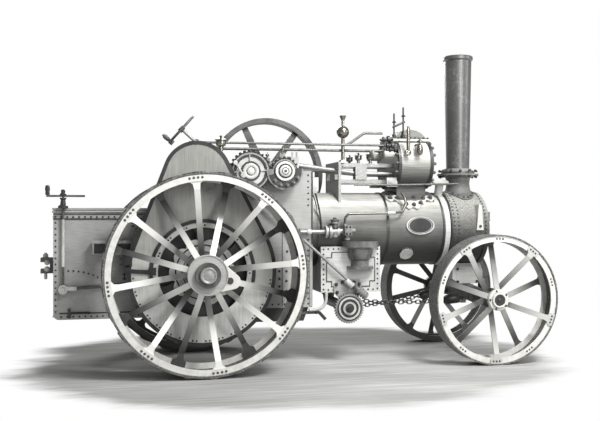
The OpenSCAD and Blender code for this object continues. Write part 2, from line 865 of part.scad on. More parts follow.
// Bracket under the smokebox that carries the perch pin.
module perch_bracket() {
    x = wheelbase;
    half_w = 170;
    web = 60;
    color("dimgray") place() {
        difference() {
            side(-half_w, 2 * half_w) polygon([
                [x - 200, perch_low + 60], [x - 200, 1180], [smokebox_front - 4, 1180],
                [smokebox_front - 4, 1120], [x + 190, 1000], [x + 190, perch_low + 60],
                [x + 110, perch_low], [x - 110, perch_low]
            ]);
            along(x - 500, 0, boiler_z, 1000, smokebox_r + ring_h + seat);
            for (s = [-1, 1]) block([x - 150, s > 0 ? web : -half_w - 1, perch_low + 80],
                [x + 130, s > 0 ? half_w + 1 : -web, 1040]);
        }
        translate([x, 0, front_r - 100]) cylinder(h = perch_low - front_r + 120, r = perch_pin_r);
        translate([x, 0, front_r - 130]) cylinder(h = 30, r = perch_pin_r + 18);
    }
}

// Water tank that wraps the barrel's underside, with a notched plate on each side.
module belly_tank() {
    notch = 60;
    color("gray") place() difference() {
        union() {
            block([tank_rear, -tank_y, tank_low], [tank_front, tank_y, tank_top]);
            both_sides() side(tank_y, tank_plate) polygon([
                [tank_rear + 60 + notch, tank_low + 60], [tank_front - 60 - notch, tank_low + 60],
                [tank_front - 60 - notch, tank_low + 60 + notch],
                [tank_front - 60, tank_low + 60 + notch],
                [tank_front - 60, tank_top - 60 - notch],
                [tank_front - 60 - notch, tank_top - 60 - notch],
                [tank_front - 60 - notch, tank_top - 60], [tank_rear + 60 + notch, tank_top - 60],
                [tank_rear + 60 + notch, tank_top - 60 - notch],
                [tank_rear + 60, tank_top - 60 - notch],
                [tank_rear + 60, tank_low + 60 + notch],
                [tank_rear + 60 + notch, tank_low + 60 + notch]
            ]);
        }
        along(tank_rear - 10, 0, boiler_z, tank_front - tank_rear + 20, boiler_r + seat);
    }
}

// Filler on the tank's near side: half a turned bowl on a base plate, open at its top.
module tank_filler() {
    x = 1812;
    y = -tank_y - tank_plate - seat;
    rim_r = 215;
    top = 1384;
    wall = 8;
    color("dimgray") place() difference() {
        translate([x, y, 0]) rotate_extrude($fn = 72) polygon([
            [0, 1063], [154, 1063], [154, 1098], [104, 1104], [104, 1160], [128, 1185],
            [146, 1240], [150, 1290], [rim_r, 1316], [rim_r, top], [rim_r - 22, top],
            [rim_r - 22, 1330], [150 - wall, 1306], [146 - wall, 1244], [0, 1200]
        ]);
        block([x - rim_r - 1, y, 1000], [x + rim_r + 1, y + rim_r + 1, top + 1]);
    }
}

// Feed pump on the near side of the boiler.
module feed_pump() {
    y = pump_y;
    z = pump_z;
    color("darkgray") place() {
        along(1100, y, z, 320, 26);
        along(1400, y, z, 16, 68);
        along(1428, y, z, 16, 68);
        along(1415, y, z, 140, 40);
        bar([1500, y, z - 60], [1500, y, z + 95], 34);
        bar([1500, y, z + 94], [1500, y, z + 112], 46);
        bar([1550, y, z + 8], [1680, y, z + 8], 28);
        bar([pump_valve_x, y, z], [pump_valve_x, y, z + pump_valve_h], 22);
        block([1100, -horn_out - 40, z - 40], [1180, -horn_out - seat, z + 40]);
    }
}

// Copper pipe from the pump over the lagging to the cylinder block.
module feed_pipe() {
    r = 15;
    x = pump_valve_x;
    y = pump_y;
    z = pump_z + pump_valve_h;
    points = [
        [x, y, z + seat], [x, y, z + 60], [x + 22, y, z + 100], [x + 72, y, z + 120],
        [2150, y, z + 120], [2250, y, z + 140], [2330, y + 30, z + 210],
        [2350, y + 90, z + 280], [2345, y + 150, z + 360]
    ];
    color("peru") place() pipe(points, r);
}

// Cylinder block on its saddle, with the valve chest, the top plate and the dome.
module cylinder_block() {
    axis_z = 2280;
    lag_r = 280;
    end_r = 290;
    lag_y = 130;
    flange_t = 24;
    chest_y = 300;
    chest_z = 2388;
    chest_r = 44;
    chest_len = 150;
    color("gray") place() difference() {
        union() {
            translate([block_rear + 30, 0, 0]) rotate([90, 0, 90])
                linear_extrude(block_front - block_rear - 60) union() {
                    for (s = [-1, 1]) translate([s * lag_y, axis_z]) circle(r = lag_r, $fn = 160);
                    translate([-lag_y, axis_z - lag_r]) square([2 * lag_y, 2 * lag_r]);
                }
            for (x = [block_rear, block_front - 30]) translate([x, 0, 0]) rotate([90, 0, 90])
                linear_extrude(30) union() {
                    for (s = [-1, 1]) translate([s * lag_y, axis_z]) circle(r = end_r, $fn = 160);
                    translate([-lag_y, axis_z - end_r]) square([2 * lag_y, 2 * end_r]);
                }
            block([block_rear - 20, -240, block_top - 30], [block_front + 20, 240, block_top + 18]);
            block([block_rear + 30, -230, 1800], [block_front - 30, 230, axis_z]);
            intersection() {
                along(block_rear - 50, 0, boiler_z, block_front - block_rear + 110,
                    boiler_r + flange_t);
                block([block_rear - 60, -290, 1780], [block_front + 70, 290, axis_z]);
            }
            for (y = [-chest_y, chest_y])
                along(block_rear - chest_len, y, chest_z, chest_len + 20, chest_r);
            intersection() {
                across((block_rear + block_front) / 2, block_top - 110, -190, 380, 245);
                block([block_rear, -200, block_top], [block_front, 200, block_top + 400]);
            }
        }
        along(block_rear - 200, 0, boiler_z, 1000, boiler_r + seat);
    }
}

// Safety valves with their lever, on the block's top.
module safety_valves() {
    y = -216;
    z = block_top + 18 + seat;
    spindles = [[block_rear + 2, 300], [block_rear + 116, 375]];
    lever_rise = [135, 205];
    color("darkgoldenrod") place() {
        for (s = spindles) {
            bar([s[0], y, z], [s[0], y, z + s[1]], 10);
            bar([s[0], y, z], [s[0], y, z + 50], 24);
            bar([s[0], y, z + s[1] - 110], [s[0], y, z + s[1] - 90], 30, 14);
        }
        bar([block_rear - 15, y, z + lever_rise[0]], [block_rear + 135, y, z + lever_rise[1]], 12);
    }
}

// Slide bars between the motion plate and the cylinder block, two pairs.
module slide_bars() {
    plate_x = 1600;
    color("silver") place() {
        both_sides() {
            for (z = [crank_z + 74, crank_z - 118])
                block([plate_x + 30 + seat, rod_y - 34, z], [block_rear - seat, rod_y + 34, z + 44]);
        }
        difference() {
            block([plate_x, -300, 1790], [plate_x + 30, 300, crank_z + 130]);
            along(plate_x - 100, 0, boiler_z, 300, boiler_r + seat);
            for (y = [-rod_y, rod_y])
                block([plate_x - 1, y - 62, crank_z - 74], [plate_x + 31, y + 62, crank_z + 74]);
        }
    }
}

// Crossheads with their piston rods.
module crossheads() {
    color("silver") place() for (s = [[-rod_y, 0], [rod_y, 120]]) translate([s[1], s[0], 0]) {
        difference() {
            block([crosshead_x - 60, -56, crank_z - 73], [crosshead_x + 75, 56, crank_z + 73]);
            block([crosshead_x - 61, -26, crank_z - 50], [crosshead_x + 45, 26, crank_z + 50]);
        }
        along(crosshead_x + 74, 0, crank_z, block_rear - crosshead_x - 74 - seat - s[1], 22);
    }
}

// Connecting rods from the crank pins to the crossheads.
module connecting_rods() {
    color("silver") place() for (s = [[-rod_y, crank_turn, 0], [rod_y, crank_turn + 90, 120]]) {
        pin = [crank_x + throw * cos(s[1]), s[0], crank_z + throw * sin(s[1])];
        end = [crosshead_x + s[2], s[0], crank_z];
        aim = (end - pin) / norm(end - pin);
        difference() {
            union() {
                bar(pin + 60 * aim, end - 20 * aim, 30, 20);
                across(pin[0], pin[2], pin[1] - 33, 66, 88);
                across(end[0], end[2], end[1] - 24, 48, 40);
            }
            across(pin[0], pin[2], pin[1] - 40, 80, crank_r + seat);
        }
    }
}

// Oil ball on its stand beside the slide bars.
module oil_ball() {
    x = 1660;
    y = -265;
    ball_z = 2640;
    ball_r = 72;
    color("darkgray") place() union() {
        bar([x, y, crank_z + 130], [x, y, ball_z - 60], 20);
        translate([x, y, ball_z]) sphere(r = ball_r);
        bar([x, y, ball_z + 60], [x, y, ball_z + 150], 16);
        bar([x, y, ball_z + 140], [x, y, ball_z + 190], 20, 40);
        block([x - 28, y - 40, crank_z + 118 + seat], [x + 28, -rod_y - 10, crank_z + 150]);
    }
}

// Regulator and reversing rods to the driver's levers.
module control_rods() {
    rear = -120;
    front = block_rear - seat;
    regulator = [-310, 2490];
    reverser = [-215, 2430];
    stand = [-60, -20];
    stand_low = 2080;
    color("darkgray") place() {
        bar([rear, regulator[0], regulator[1]], [front, regulator[0], regulator[1]], 13);
        bar([rear, reverser[0], reverser[1]], [front, reverser[0], reverser[1]], 16);
        block([stand[0], regulator[0] - 50, stand_low],
            [stand[1], reverser[0] + 25, regulator[1] + 30]);
        block([stand[0], -horn_in + seat, stand_low],
            [stand[1], regulator[0] - 30, stand_low + 80]);
    }
}

// Brackets that carry the steering roller and the foot of the steering shaft.
module steering_brackets() {
    color("gray") place() {
        for (y = [-tank_y + 20, tank_y - 36]) difference() {
            side(y, 16) polygon([
                [roller_x - 90, tank_low - seat], [roller_x + 90, tank_low - seat],
                [roller_x + 50, roller_z - 50], [roller_x - 50, roller_z - 50]
            ]);
            across(roller_x, roller_z, y - 1, 18, 30 + run);
        }
        difference() {
            union() {
                on_column(95) cylinder(h = 50, r = 30);
                on_column(2000) cylinder(h = 40, r = 23);
                on_column(120) block([-22, 0, -20], [22, -tank_y - tank_plate - seat - column_y, 20]);
                on_column(2020) block([-22, 0, -18], [22, -horn_out - seat - column_y, 18]);
            }
            on_column(60) cylinder(h = 2200, r = column_r + run);
        }
    }
}

// Places what is drawn on the steering shaft's axis, a length above the worm's middle.
module on_column(s) {
    translate([worm_x, column_y, worm_z]) rotate([0, -90 + column_tilt, 0]) translate([0, 0, s])
        children();
}

// Roller below the tank that the steering chains wind on.
module steering_roller() {
    inner = tank_y - 36;
    color("dimgray") place() {
        across(roller_x, roller_z, -inner + 6, 2 * inner - 12, roller_r);
        across(roller_x, roller_z, column_y - 60, tank_y + 20 - column_y + 20, 30);
    }
}

// Worm wheel on the roller's near end.
module worm_wheel() {
    w = 52;
    color("silver") place() translate([roller_x, 0, roller_z]) difference() {
        translate([0, column_y + w / 2, 0]) rotate([90, 0, 0])
            linear_extrude(w) gear_outline(worm_wheel_r, worm_wheel_teeth, 14);
        difference() {
            across(0, 0, column_y - w / 2 - 1, 10, worm_wheel_r - 28);
            across(0, 0, column_y - w / 2 - 2, 12, 62);
        }
        across(0, 0, column_y - 100, 200, 30 + seat);
    }
}

// Steering shaft with the worm at its foot.
module steering_column() {
    color("silver") place() on_column(0) {
        translate([0, 0, -80]) cylinder(h = column_len + 80, r = column_r);
        rotate_extrude() polygon([
            [column_r - 1, -70], [38, -70],
            for (k = [0 : 3]) each [
                [38, -62 + k * 32], [worm_r, -54 + k * 32],
                [worm_r, -46 + k * 32], [38, -38 + k * 32]
            ],
            [38, 70], [column_r - 1, 70]
        ]);
    }
}

// Hand steering wheel with three arms and a grip.
module steering_wheel() {
    color("dimgray") place() on_column(column_len) difference() {
            union() {
                rotate_extrude() translate([hand_r - 14, 0]) circle(r = 14, $fn = 24);
                cylinder(h = 50, r = 34, center = true);
                for (a = [20, 140, 260]) rotate([0, 0, a])
                    translate([28, -13, -7]) cube([hand_r - 46, 26, 14]);
                rotate([0, 0, 180]) translate([hand_r - 14, 0, 0]) cylinder(h = 110, r = 15);
            }
            translate([0, 0, -60]) cylinder(h = 60.1, r = column_r + seat);
        }
}

// Two chains from the roller to the ends of the front axle, links standing and lying in turn.
module steering_chains() {
    color("dimgray") place() for (s = [[-300, -420, 1], [300, 420, -1]]) {
        a = [roller_x + 40, s[0], roller_z + s[2] * (roller_r + 14)];
        b = [wheelbase - 110 - chain_wire - 6 * seat, s[1], front_r - 20];
        v = b - a;
        links = floor(norm(v) / chain_pitch);
        for (i = [0 : links - 1]) translate(a + v * (i + 0.5) / links)
            rotate([0, acos(v[2] / norm(v)) - 90, atan2(v[1], v[0])]) rotate([i % 2 * 90, 0, 0])
                chain_link(norm(v) / links);
    }
}

// One open link of the steering chain, lying along X, for links that stand a pitch apart.
module chain_link(pitch) {
    eye_l = pitch / 2 + seat;
    eye_w = chain_wire / 2 + 1.5;
    l = eye_l + chain_wire;
    w = eye_w + chain_wire;
    c = chain_wire;
    translate([0, 0, -chain_wire / 2]) linear_extrude(chain_wire) difference() {
        polygon([
            [-l, -w + c], [-l + c, -w], [l - c, -w], [l, -w + c],
            [l, w - c], [l - c, w], [-l + c, w], [-l, w - c]
        ]);
        square([2 * eye_l, 2 * eye_w], center = true);
    }
}

// Front axle beam with the stubs for its wheels and the bore for the perch pin.
module front_axle() {
    half = front_inner - 30;
    depth = 110;
    color("dimgray") place() difference() {
        union() {
            translate([wheelbase - depth / 2, 0, 0]) rotate([90, 0, 90]) linear_extrude(depth)
                polygon([
                    [-half, front_r - 50], [-half + 160, front_r - 66], [-190, front_r - 66],
                    [-120, front_r - 86], [120, front_r - 86], [190, front_r - 66],
                    [half - 160, front_r - 66], [half, front_r - 50],
                    [half, front_r + 50], [half - 120, axle_top], [-half + 120, axle_top],
                    [-half, front_r + 50]
                ]);
            across(wheelbase, front_r, -front_face + 12, 2 * front_face - 24, stub_r);
            both_sides() block([wheelbase - 110, 380, front_r - 50],
                [wheelbase - depth / 2 + 1, 460, front_r + 10]);
        }
        translate([wheelbase, 0, 0]) cylinder(h = 1500, r = perch_pin_r + run);
    }
}

// Transverse leaf spring on the front axle.
module front_spring() {
    leaf = 10;
    color("gray") place() difference() {
        union() for (i = [0 : 4])
            block([wheelbase - 45, -600 + i * 90, axle_top + i * leaf],
                [wheelbase + 45, 600 - i * 90, axle_top + (i + 1) * leaf]);
        translate([wheelbase, 0, 0]) cylinder(h = 1500, r = perch_pin_r + run);
    }
}

module rear_rim_right() {
    color("whitesmoke") place() stand_near(0, rear_r, rear_face) rear_rim();
}

module rear_hub_right() {
    color("whitesmoke") place() stand_near(0, rear_r, rear_face) rear_hub();
}

module rear_rim_left() {
    color("whitesmoke") place() mirror([0, 1, 0]) stand_near(0, rear_r, rear_face) rear_rim();
}

module rear_hub_left() {
    color("whitesmoke") place() mirror([0, 1, 0]) stand_near(0, rear_r, rear_face) rear_hub();
}

module front_rim_right() {
    color("whitesmoke") place() stand_near(wheelbase, front_r, front_face) front_rim();
}

module front_hub_right() {
    color("whitesmoke") place() stand_near(wheelbase, front_r, front_face) front_hub();
}

module front_rim_left() {
    color("whitesmoke") place() mirror([0, 1, 0]) stand_near(wheelbase, front_r, front_face)
        front_rim();
}

module front_hub_left() {
    color("whitesmoke") place() mirror([0, 1, 0]) stand_near(wheelbase, front_r, front_face)
        front_hub();
}

boiler();
firebox();
fire_door();
hornplates();
shaft_bearings();
crankshaft();
flywheel();
second_shaft();
third_shaft();
main_gear();
gear_cover();
winding_drum();
rear_axle();
tender();
brake_gear();
drawbar();
ashpan();
smokebox();
smokebox_door();
lamp_brackets();
chimney_base();
chimney();
perch_bracket();
belly_tank();
tank_filler();
feed_pump();
feed_pipe();
cylinder_block();
safety_valves();
slide_bars();
crossheads();
connecting_rods();
oil_ball();
control_rods();
steering_brackets();
steering_roller();
worm_wheel();
steering_column();
steering_wheel();
steering_chains();
front_axle();
front_spring();
rear_rim_right();
rear_hub_right();
rear_rim_left();
rear_hub_left();
front_rim_right();
front_hub_right();
front_rim_left();
front_hub_left();
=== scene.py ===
# %% [markdown]
# This script dresses a steam traction engine for its picture. The construction model is already
# packed with its joints, so it comes in first as a fixed frame. Small things such as rivets,
# bolts, chains and pipes are then made on it, and each rides on the body that carries it.
# %% Loading the frame
import json
import math

import bmesh
import bpy
import numpy as np
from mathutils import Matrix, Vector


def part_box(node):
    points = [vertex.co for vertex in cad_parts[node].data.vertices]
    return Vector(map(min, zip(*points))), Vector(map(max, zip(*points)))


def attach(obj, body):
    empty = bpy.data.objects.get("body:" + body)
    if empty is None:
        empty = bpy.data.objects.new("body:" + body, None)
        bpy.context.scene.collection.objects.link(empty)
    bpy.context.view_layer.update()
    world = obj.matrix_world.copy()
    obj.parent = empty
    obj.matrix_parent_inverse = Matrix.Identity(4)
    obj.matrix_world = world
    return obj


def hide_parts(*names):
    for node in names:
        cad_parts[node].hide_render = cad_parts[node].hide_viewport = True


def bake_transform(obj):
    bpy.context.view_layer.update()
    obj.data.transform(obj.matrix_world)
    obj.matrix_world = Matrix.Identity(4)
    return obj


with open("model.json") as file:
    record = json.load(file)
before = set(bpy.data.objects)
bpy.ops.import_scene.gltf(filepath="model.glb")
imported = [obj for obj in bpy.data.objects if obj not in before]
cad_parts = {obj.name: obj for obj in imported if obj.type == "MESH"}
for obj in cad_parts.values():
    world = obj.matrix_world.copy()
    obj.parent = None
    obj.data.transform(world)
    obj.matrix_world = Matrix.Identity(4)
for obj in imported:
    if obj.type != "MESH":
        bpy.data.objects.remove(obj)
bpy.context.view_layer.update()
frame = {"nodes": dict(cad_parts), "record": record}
nodes = frame["nodes"]
scene = bpy.context.scene

# %% [markdown]
# A works drawing of an engine is dimensioned from its rear axle, in millimetres. Working in that
# way here keeps each number readable: how far forward, how far to the left, how high. One helper
# turns such a place into metres in the frame, and the axles come from the frame itself. Axes that
# many pieces share, and the directions that they face, have names.


# %% Places as on a works drawing
def middle(node):
    """Centre of a node's box at rest: the mean of its lowest and highest corner."""
    low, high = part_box(node)
    return (np.array(low) + np.array(high)) / 2


REAR_AXLE = middle("rear_rim_right")
FRONT_AXLE = middle("front_rim_right")
REAR_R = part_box("rear_rim_right")[1].z / 2
FRONT_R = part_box("front_rim_right")[1].z / 2
REAR_FACE = -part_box("rear_rim_right")[0].y
FRONT_FACE = -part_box("front_rim_right")[0].y


def at(x, y, z):
    """Millimetres forward of the rear axle, left of the middle and above the ground, in metres."""
    return np.stack(np.broadcast_arrays(x, y, z), -1) / 1000 + [REAR_AXLE[0], 0, 0]


AXLE_Z = 1067
BOILER_Z = 1510
GEAR_X, GEAR_Z = 524, 2160
CRANK_X, CRANK_Z = 905, 2165
ROLLER_X, ROLLER_Z = 1666, 624
CHIMNEY_X = 3200
FRONT_X = 3260
AHEAD = (1, 0, 0)
BEHIND = (-1, 0, 0)
NEAR = (0, -1, 0)
ABOVE = (0, 0, 1)
BELOW = (0, 0, -1)
print("wheelbase", round(FRONT_AXLE[0] - REAR_AXLE[0], 3), "rear wheel", round(2 * REAR_R, 3))

# %% [markdown]
# The picture was drawn from the engine's near side, a little towards its tail, at about the
# height of the boiler. Its lines converge like those of a normal lens on a full-frame camera, so
# a real camera at that place gives the same view. It is held level and only turned, so uprights
# stay upright, which is how such engines are always drawn.
# %% Camera
LENS_MM = 50.9
CAMERA_AT = at(-981, -9764, 1722)
CAMERA_PITCH = math.radians(90.05)
CAMERA_YAW = math.radians(-12.65)

camera = bpy.data.objects.new("camera", bpy.data.cameras.new("camera"))
camera.data.lens = LENS_MM
camera.data.sensor_width = 36
camera.location = CAMERA_AT
camera.rotation_euler = (CAMERA_PITCH, 0, CAMERA_YAW)
scene.collection.objects.link(camera)
scene.camera = camera
print("camera at", np.round(CAMERA_AT, 2).tolist())

# %% [markdown]
# Ink on white paper has no coloured light in it, so the studio stays plain. One large soft lamp
# stands high on the near side and gives each round form one bright band, and two weaker ones keep
# the front and the far side readable. A fourth stands level with the chimney, which mirrors it as
# an upright gleam. The surroundings light the engine with little strength, so that undersides go
# dark, but the camera itself sees them as white paper.
# %% Lamps and surroundings
def lamp(name, place, aim, tall, wide, power):
    """Soft lamp, so tall and so wide, at place and pointing at aim."""
    light = bpy.data.lights.new(name, "AREA")
    light.shape = "RECTANGLE"
    light.size = tall
    light.size_y = wide
    light.energy = power
    thing = bpy.data.objects.new(name, light)
    thing.location = place
    direction = np.array(aim) - np.array(place)
    yaw = math.atan2(direction[1], direction[0])
    pitch = math.acos(direction[2] / np.linalg.norm(direction))
    thing.rotation_euler = (0, math.pi + pitch, yaw)
    scene.collection.objects.link(thing)


lamp("lamp_near", at(3600, -5400, 7900), at(1300, 0, 1200), 2.6, 2.6, 1040)
lamp("lamp_front", at(9500, -3500, 4200), at(2800, 0, 1500), 2.4, 2.4, 100)
lamp("lamp_far", at(1500, 8500, 6500), at(1400, 0, 1300), 4.0, 4.0, 420)
lamp("lamp_gleam", at(3850, -7000, 3700), at(3200, 0, 2900), 2.6, 1.8, 210)
world = bpy.data.worlds.new("studio")
world.use_nodes = True
sky = world.node_tree
WHITE = (1, 1, 1, 1)
daylight = sky.nodes["Background"]
daylight.inputs["Color"].default_value = WHITE
daylight.inputs["Strength"].default_value = 0.36
paper = sky.nodes.new("ShaderNodeBackground")
paper.inputs["Color"].default_value = WHITE
choose = sky.nodes.new("ShaderNodeMixShader")
seen = sky.nodes.new("ShaderNodeLightPath")
sky.links.new(seen.outputs["Is Camera Ray"], choose.inputs[0])
sky.links.new(daylight.outputs[0], choose.inputs[1])
sky.links.new(paper.outputs[0], choose.inputs[2])
sky.links.new(choose.outputs[0], sky.nodes["World Output"].inputs["Surface"])
scene.world = world
scene.view_settings.view_transform = "Standard"

# %% [markdown]
# Nearly all metalwork here is one of three kinds of surface: something turned, something swept
# along a path, or a flat plate with a soft edge. Each can be written as a grid of points that
# depends on two numbers, which numpy works out at once. Modelling them by hand would give the
# same shapes, but a formula keeps each radius and thickness where it can be read and changed.


# %% Surfaces from formulas
def grid(points):
    """Points (rows, columns, 3) and the quads between neighbours, closed round the columns."""
    rows, columns = points.shape[:2]
    here = np.arange(rows * columns).reshape(rows, columns)
    beside = np.roll(here, -1, 1)
    quads = np.stack([here[:-1], beside[:-1], beside[1:], here[1:]], -1).reshape(-1, 4)
    return points.reshape(-1, 3), quads


def round_angles(sides):
    """Angles all the way round: k 2 pi / sides."""
    return np.arange(sides) * 2 * np.pi / sides


def turned(profile, sides):
    """Surface of revolution: each (r, z) goes round as (r cos a, r sin a, z)."""
    r, z = np.array(profile, float).T
    a = round_angles(sides)
    x, y = r[:, None] * np.cos(a), r[:, None] * np.sin(a)
    return grid(np.stack([x, y, z[:, None] + 0 * a], -1))


def plate(outline, thickness, edge=0.002):
    """Flat plate: its outline at both faces, drawn in by the edge, and closed at its centre."""
    outline = np.array(outline, float)
    centre = outline.mean(0)
    reach = np.linalg.norm(outline - centre, axis=1, keepdims=True)
    inner = centre + (outline - centre) * (1 - edge / reach)
    hub = centre + 0 * outline
    layers = [(hub, 0), (inner, 0), (outline, edge), (outline, thickness - edge)]
    layers += [(inner, thickness), (hub, thickness)]
    rows = [np.column_stack([flat, np.full(len(flat), z)]) for flat, z in layers]
    return grid(np.array(rows))


def directions_of(path):
    """Unit direction of a path at each point, from its neighbours."""
    steps = np.gradient(np.array(path, float), axis=0)
    return steps / np.linalg.norm(steps, axis=1, keepdims=True)


def ended(rows):
    """Rows of points with both ends closed: all points of the new rows lie at the end's mean."""
    ends = [np.broadcast_to(rows[i].mean(0), rows[i].shape)[None] for i in (0, -1)]
    return np.concatenate([ends[0], rows, ends[1]])


def swept(path, section, up=ABOVE):
    """A section (side, up) carried along a path and square to it, with both ends closed."""
    path = np.array(path, float)
    forward = directions_of(path)
    side = np.cross(forward, up)
    side /= np.linalg.norm(side, axis=1, keepdims=True)
    over = np.cross(side, forward)
    section = np.array(section, float)
    if section.ndim == 2:
        section = np.broadcast_to(section, (len(path),) + section.shape)
    rows = path[:, None] + section[..., :1] * side[:, None] + section[..., 1:] * over[:, None]
    return grid(ended(rows))


def tube(path, radius, sides=12, up=ABOVE):
    """Round bar or pipe: the circle radius (cos a, sin a) carried along a path."""
    a = round_angles(sides)
    return swept(path, radius * np.column_stack([np.cos(a), np.sin(a)]), up)


def bent(corners, bend, steps=8):
    """A path with rounded corners: (1-t)^2 a + 2t(1-t) b + t^2 c, from bend before b to after."""
    corners = np.array(corners, float)
    before, corner, after = corners[:-2], corners[1:-1], corners[2:]
    come = before - corner
    go = after - corner
    a = corner + bend * come / np.linalg.norm(come, axis=1, keepdims=True)
    c = corner + bend * go / np.linalg.norm(go, axis=1, keepdims=True)
    t = np.linspace(0, 1, steps)[:, None]
    arcs = (1 - t) ** 2 * a[:, None] + 2 * t * (1 - t) * corner[:, None] + t**2 * c[:, None]
    return np.vstack([corners[:1], arcs.reshape(-1, 3), corners[-1:]])


print("surfaces are ready")

# %% [markdown]
# A row of rivets is one rivet, repeated. Rather than hundreds of objects it is one mesh: the
# points of a single head are turned and moved to every place in one multiplication. Sorting the
# axes out from a direction is all that this needs, since a rivet stands square to its plate.


# %% Repeating and joining shapes
def facing(directions, up):
    """Rotations (n, 3, 3) whose columns are side, over and each direction itself."""
    out = np.atleast_2d(np.array(directions, float))
    out = out / np.linalg.norm(out, axis=1, keepdims=True)
    up = np.where(np.abs(out @ np.array(up, float))[:, None] > 0.95, [1.0, 0, 0], up)
    side = np.cross(up, out)
    side /= np.linalg.norm(side, axis=1, keepdims=True)
    return np.stack([side, np.cross(out, side), out], -1)


def many(shape, places, directions, up=ABOVE):
    """Copies of a shape: every point p becomes place + rotation p, for all places at once."""
    points, quads = shape
    places = np.atleast_2d(places)
    turns = np.broadcast_to(facing(directions, up), (len(places), 3, 3))
    copies = places[:, None] + np.einsum("kij,nj->kni", turns, points)
    shift = np.arange(len(places))[:, None, None] * len(points)
    return copies.reshape(-1, 3), (quads + shift).reshape(-1, 4)


def joined(*shapes):
    """Several shapes as one, with the later ones' quads counted on."""
    counts = np.cumsum([0] + [len(points) for points, _ in shapes])
    quads = [quads + count for (_, quads), count in zip(shapes, counts)]
    return np.vstack([points for points, _ in shapes]), np.vstack(quads)


def rolled(shape, turn):
    """A shape with every point p at turn p."""
    points, quads = shape
    return points @ np.array(turn).T, quads


def mirrored(shape):
    """A shape on the engine's other side: y becomes -y."""
    points, quads = shape
    return points * [1, -1, 1], quads[:, ::-1]


def both_sides(shape):
    """A shape and its mirror image."""
    return joined(shape, mirrored(shape))


def piece(name, shape, body, finish, crease=38):
    """The shape as an object that rides on a body, if one is named. Faces point outwards."""
    points, quads = shape
    mesh = bpy.data.meshes.new(name)
    mesh.from_pydata(points.tolist(), [], quads.tolist())
    edit = bmesh.new()
    edit.from_mesh(mesh)
    bmesh.ops.remove_doubles(edit, verts=edit.verts, dist=2e-6)
    bmesh.ops.dissolve_degenerate(edit, edges=edit.edges, dist=1e-7)
    bmesh.ops.recalc_face_normals(edit, faces=edit.faces)
    edit.to_mesh(mesh)
    edit.free()
    mesh.shade_smooth()
    mesh.set_sharp_from_angle(angle=math.radians(crease))
    mesh.materials.append(finish)
    thing = bpy.data.objects.new(name, mesh)
    scene.collection.objects.link(thing)
    if body is not None:
        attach(thing, body)
    made.append((name, len(mesh.polygons)))
    return thing


made = []
print("helpers are ready")

# %% [markdown]
# Every finish starts from what the real surface is. Painted plate is brushed by hand, castings
# are rough under their paint, and steel that slides or turns is left bright. The picture has no
# colour, so all paints are greys, and brass and copper keep only a trace of theirs. One small
# function adds a node with its settings and links, and each finish is built from it in the open.
# A bump raises the surface where what feeds it is high, by its distance at most.


# %% Nodes and colours
def linear(hex_colour):
    """Colour of a hex code such as 8a8a86, turned from sRGB to linear light."""
    c = np.array([int(hex_colour[i : i + 2], 16) for i in (0, 2, 4)]) / 255
    c = np.where(c <= 0.04045, c / 12.92, ((c + 0.055) / 1.055) ** 2.4)
    return (*c.tolist(), 1.0)


def add(tree, kind, links=None, values=None, stops=(), **settings):
    """One node: its settings, its sockets' values, what feeds them, and a ramp's hex stops."""
    node = tree.nodes.new(kind)
    for key, value in settings.items():
        setattr(node, key, value)
    for key, value in (values or {}).items():
        node.inputs[key].default_value = value
    for key, source in (links or {}).items():
        tree.links.new(source, node.inputs[key])
    elements = node.color_ramp.elements if stops else ()
    while len(elements) < len(stops):
        elements.new(0.5)
    for element, (position, colour) in zip(elements, stops):
        element.position = position
        element.color = linear(colour)
    return node


def new_finish(name, roughness, metallic=0.0, coat=0.0):
    """An empty finish with its surface shader and the object's own coordinates."""
    material = bpy.data.materials.new(name)
    material.use_nodes = True
    tree = material.node_tree
    shader = tree.nodes["Principled BSDF"]
    shader.inputs["Metallic"].default_value = metallic
    shader.inputs["Roughness"].default_value = roughness
    shader.inputs["Coat Weight"].default_value = coat
    place = add(tree, "ShaderNodeTexCoord").outputs["Object"]
    return material, tree, shader, place


def dirty(tree, place, patch_mm, detail, rough=0.6, stretch=(1, 1, 1)):
    """Noise whose patches measure about patch_mm, longer where stretch is below 1."""
    scale = add(tree, "ShaderNodeMapping", links={"Vector": place}, values={"Scale": stretch})
    noise = add(tree, "ShaderNodeTexNoise", links={"Vector": scale.outputs["Vector"]},
        values={"Scale": 1000 / patch_mm, "Detail": detail, "Roughness": rough})
    return noise.outputs["Fac"]


def distance(tree, place, centre, scale):
    """How far off a place is: the length of scale times place, less the centre."""
    shift = {"Location": tuple(-part for part in centre), "Scale": scale}
    moved = add(tree, "ShaderNodeMapping", links={"Vector": place}, values=shift)
    return add(tree, "ShaderNodeVectorMath", links={0: moved.outputs["Vector"]},
        operation="LENGTH").outputs["Value"]


MM = 0.001
print("paint chart", [round(x, 3) for x in linear("8a8a86")[:3]])

# %% [markdown]
# Painted plate covers the tender, the gear cover and the tank. The paint was flatted and laid on
# with a wide brush, so it is satin, a little uneven in tone, and carries fine brush marks. On the
# real engine these marks are a millimetre apart. They are drawn at least six times coarser here,
# because the picture couldn't show them otherwise.


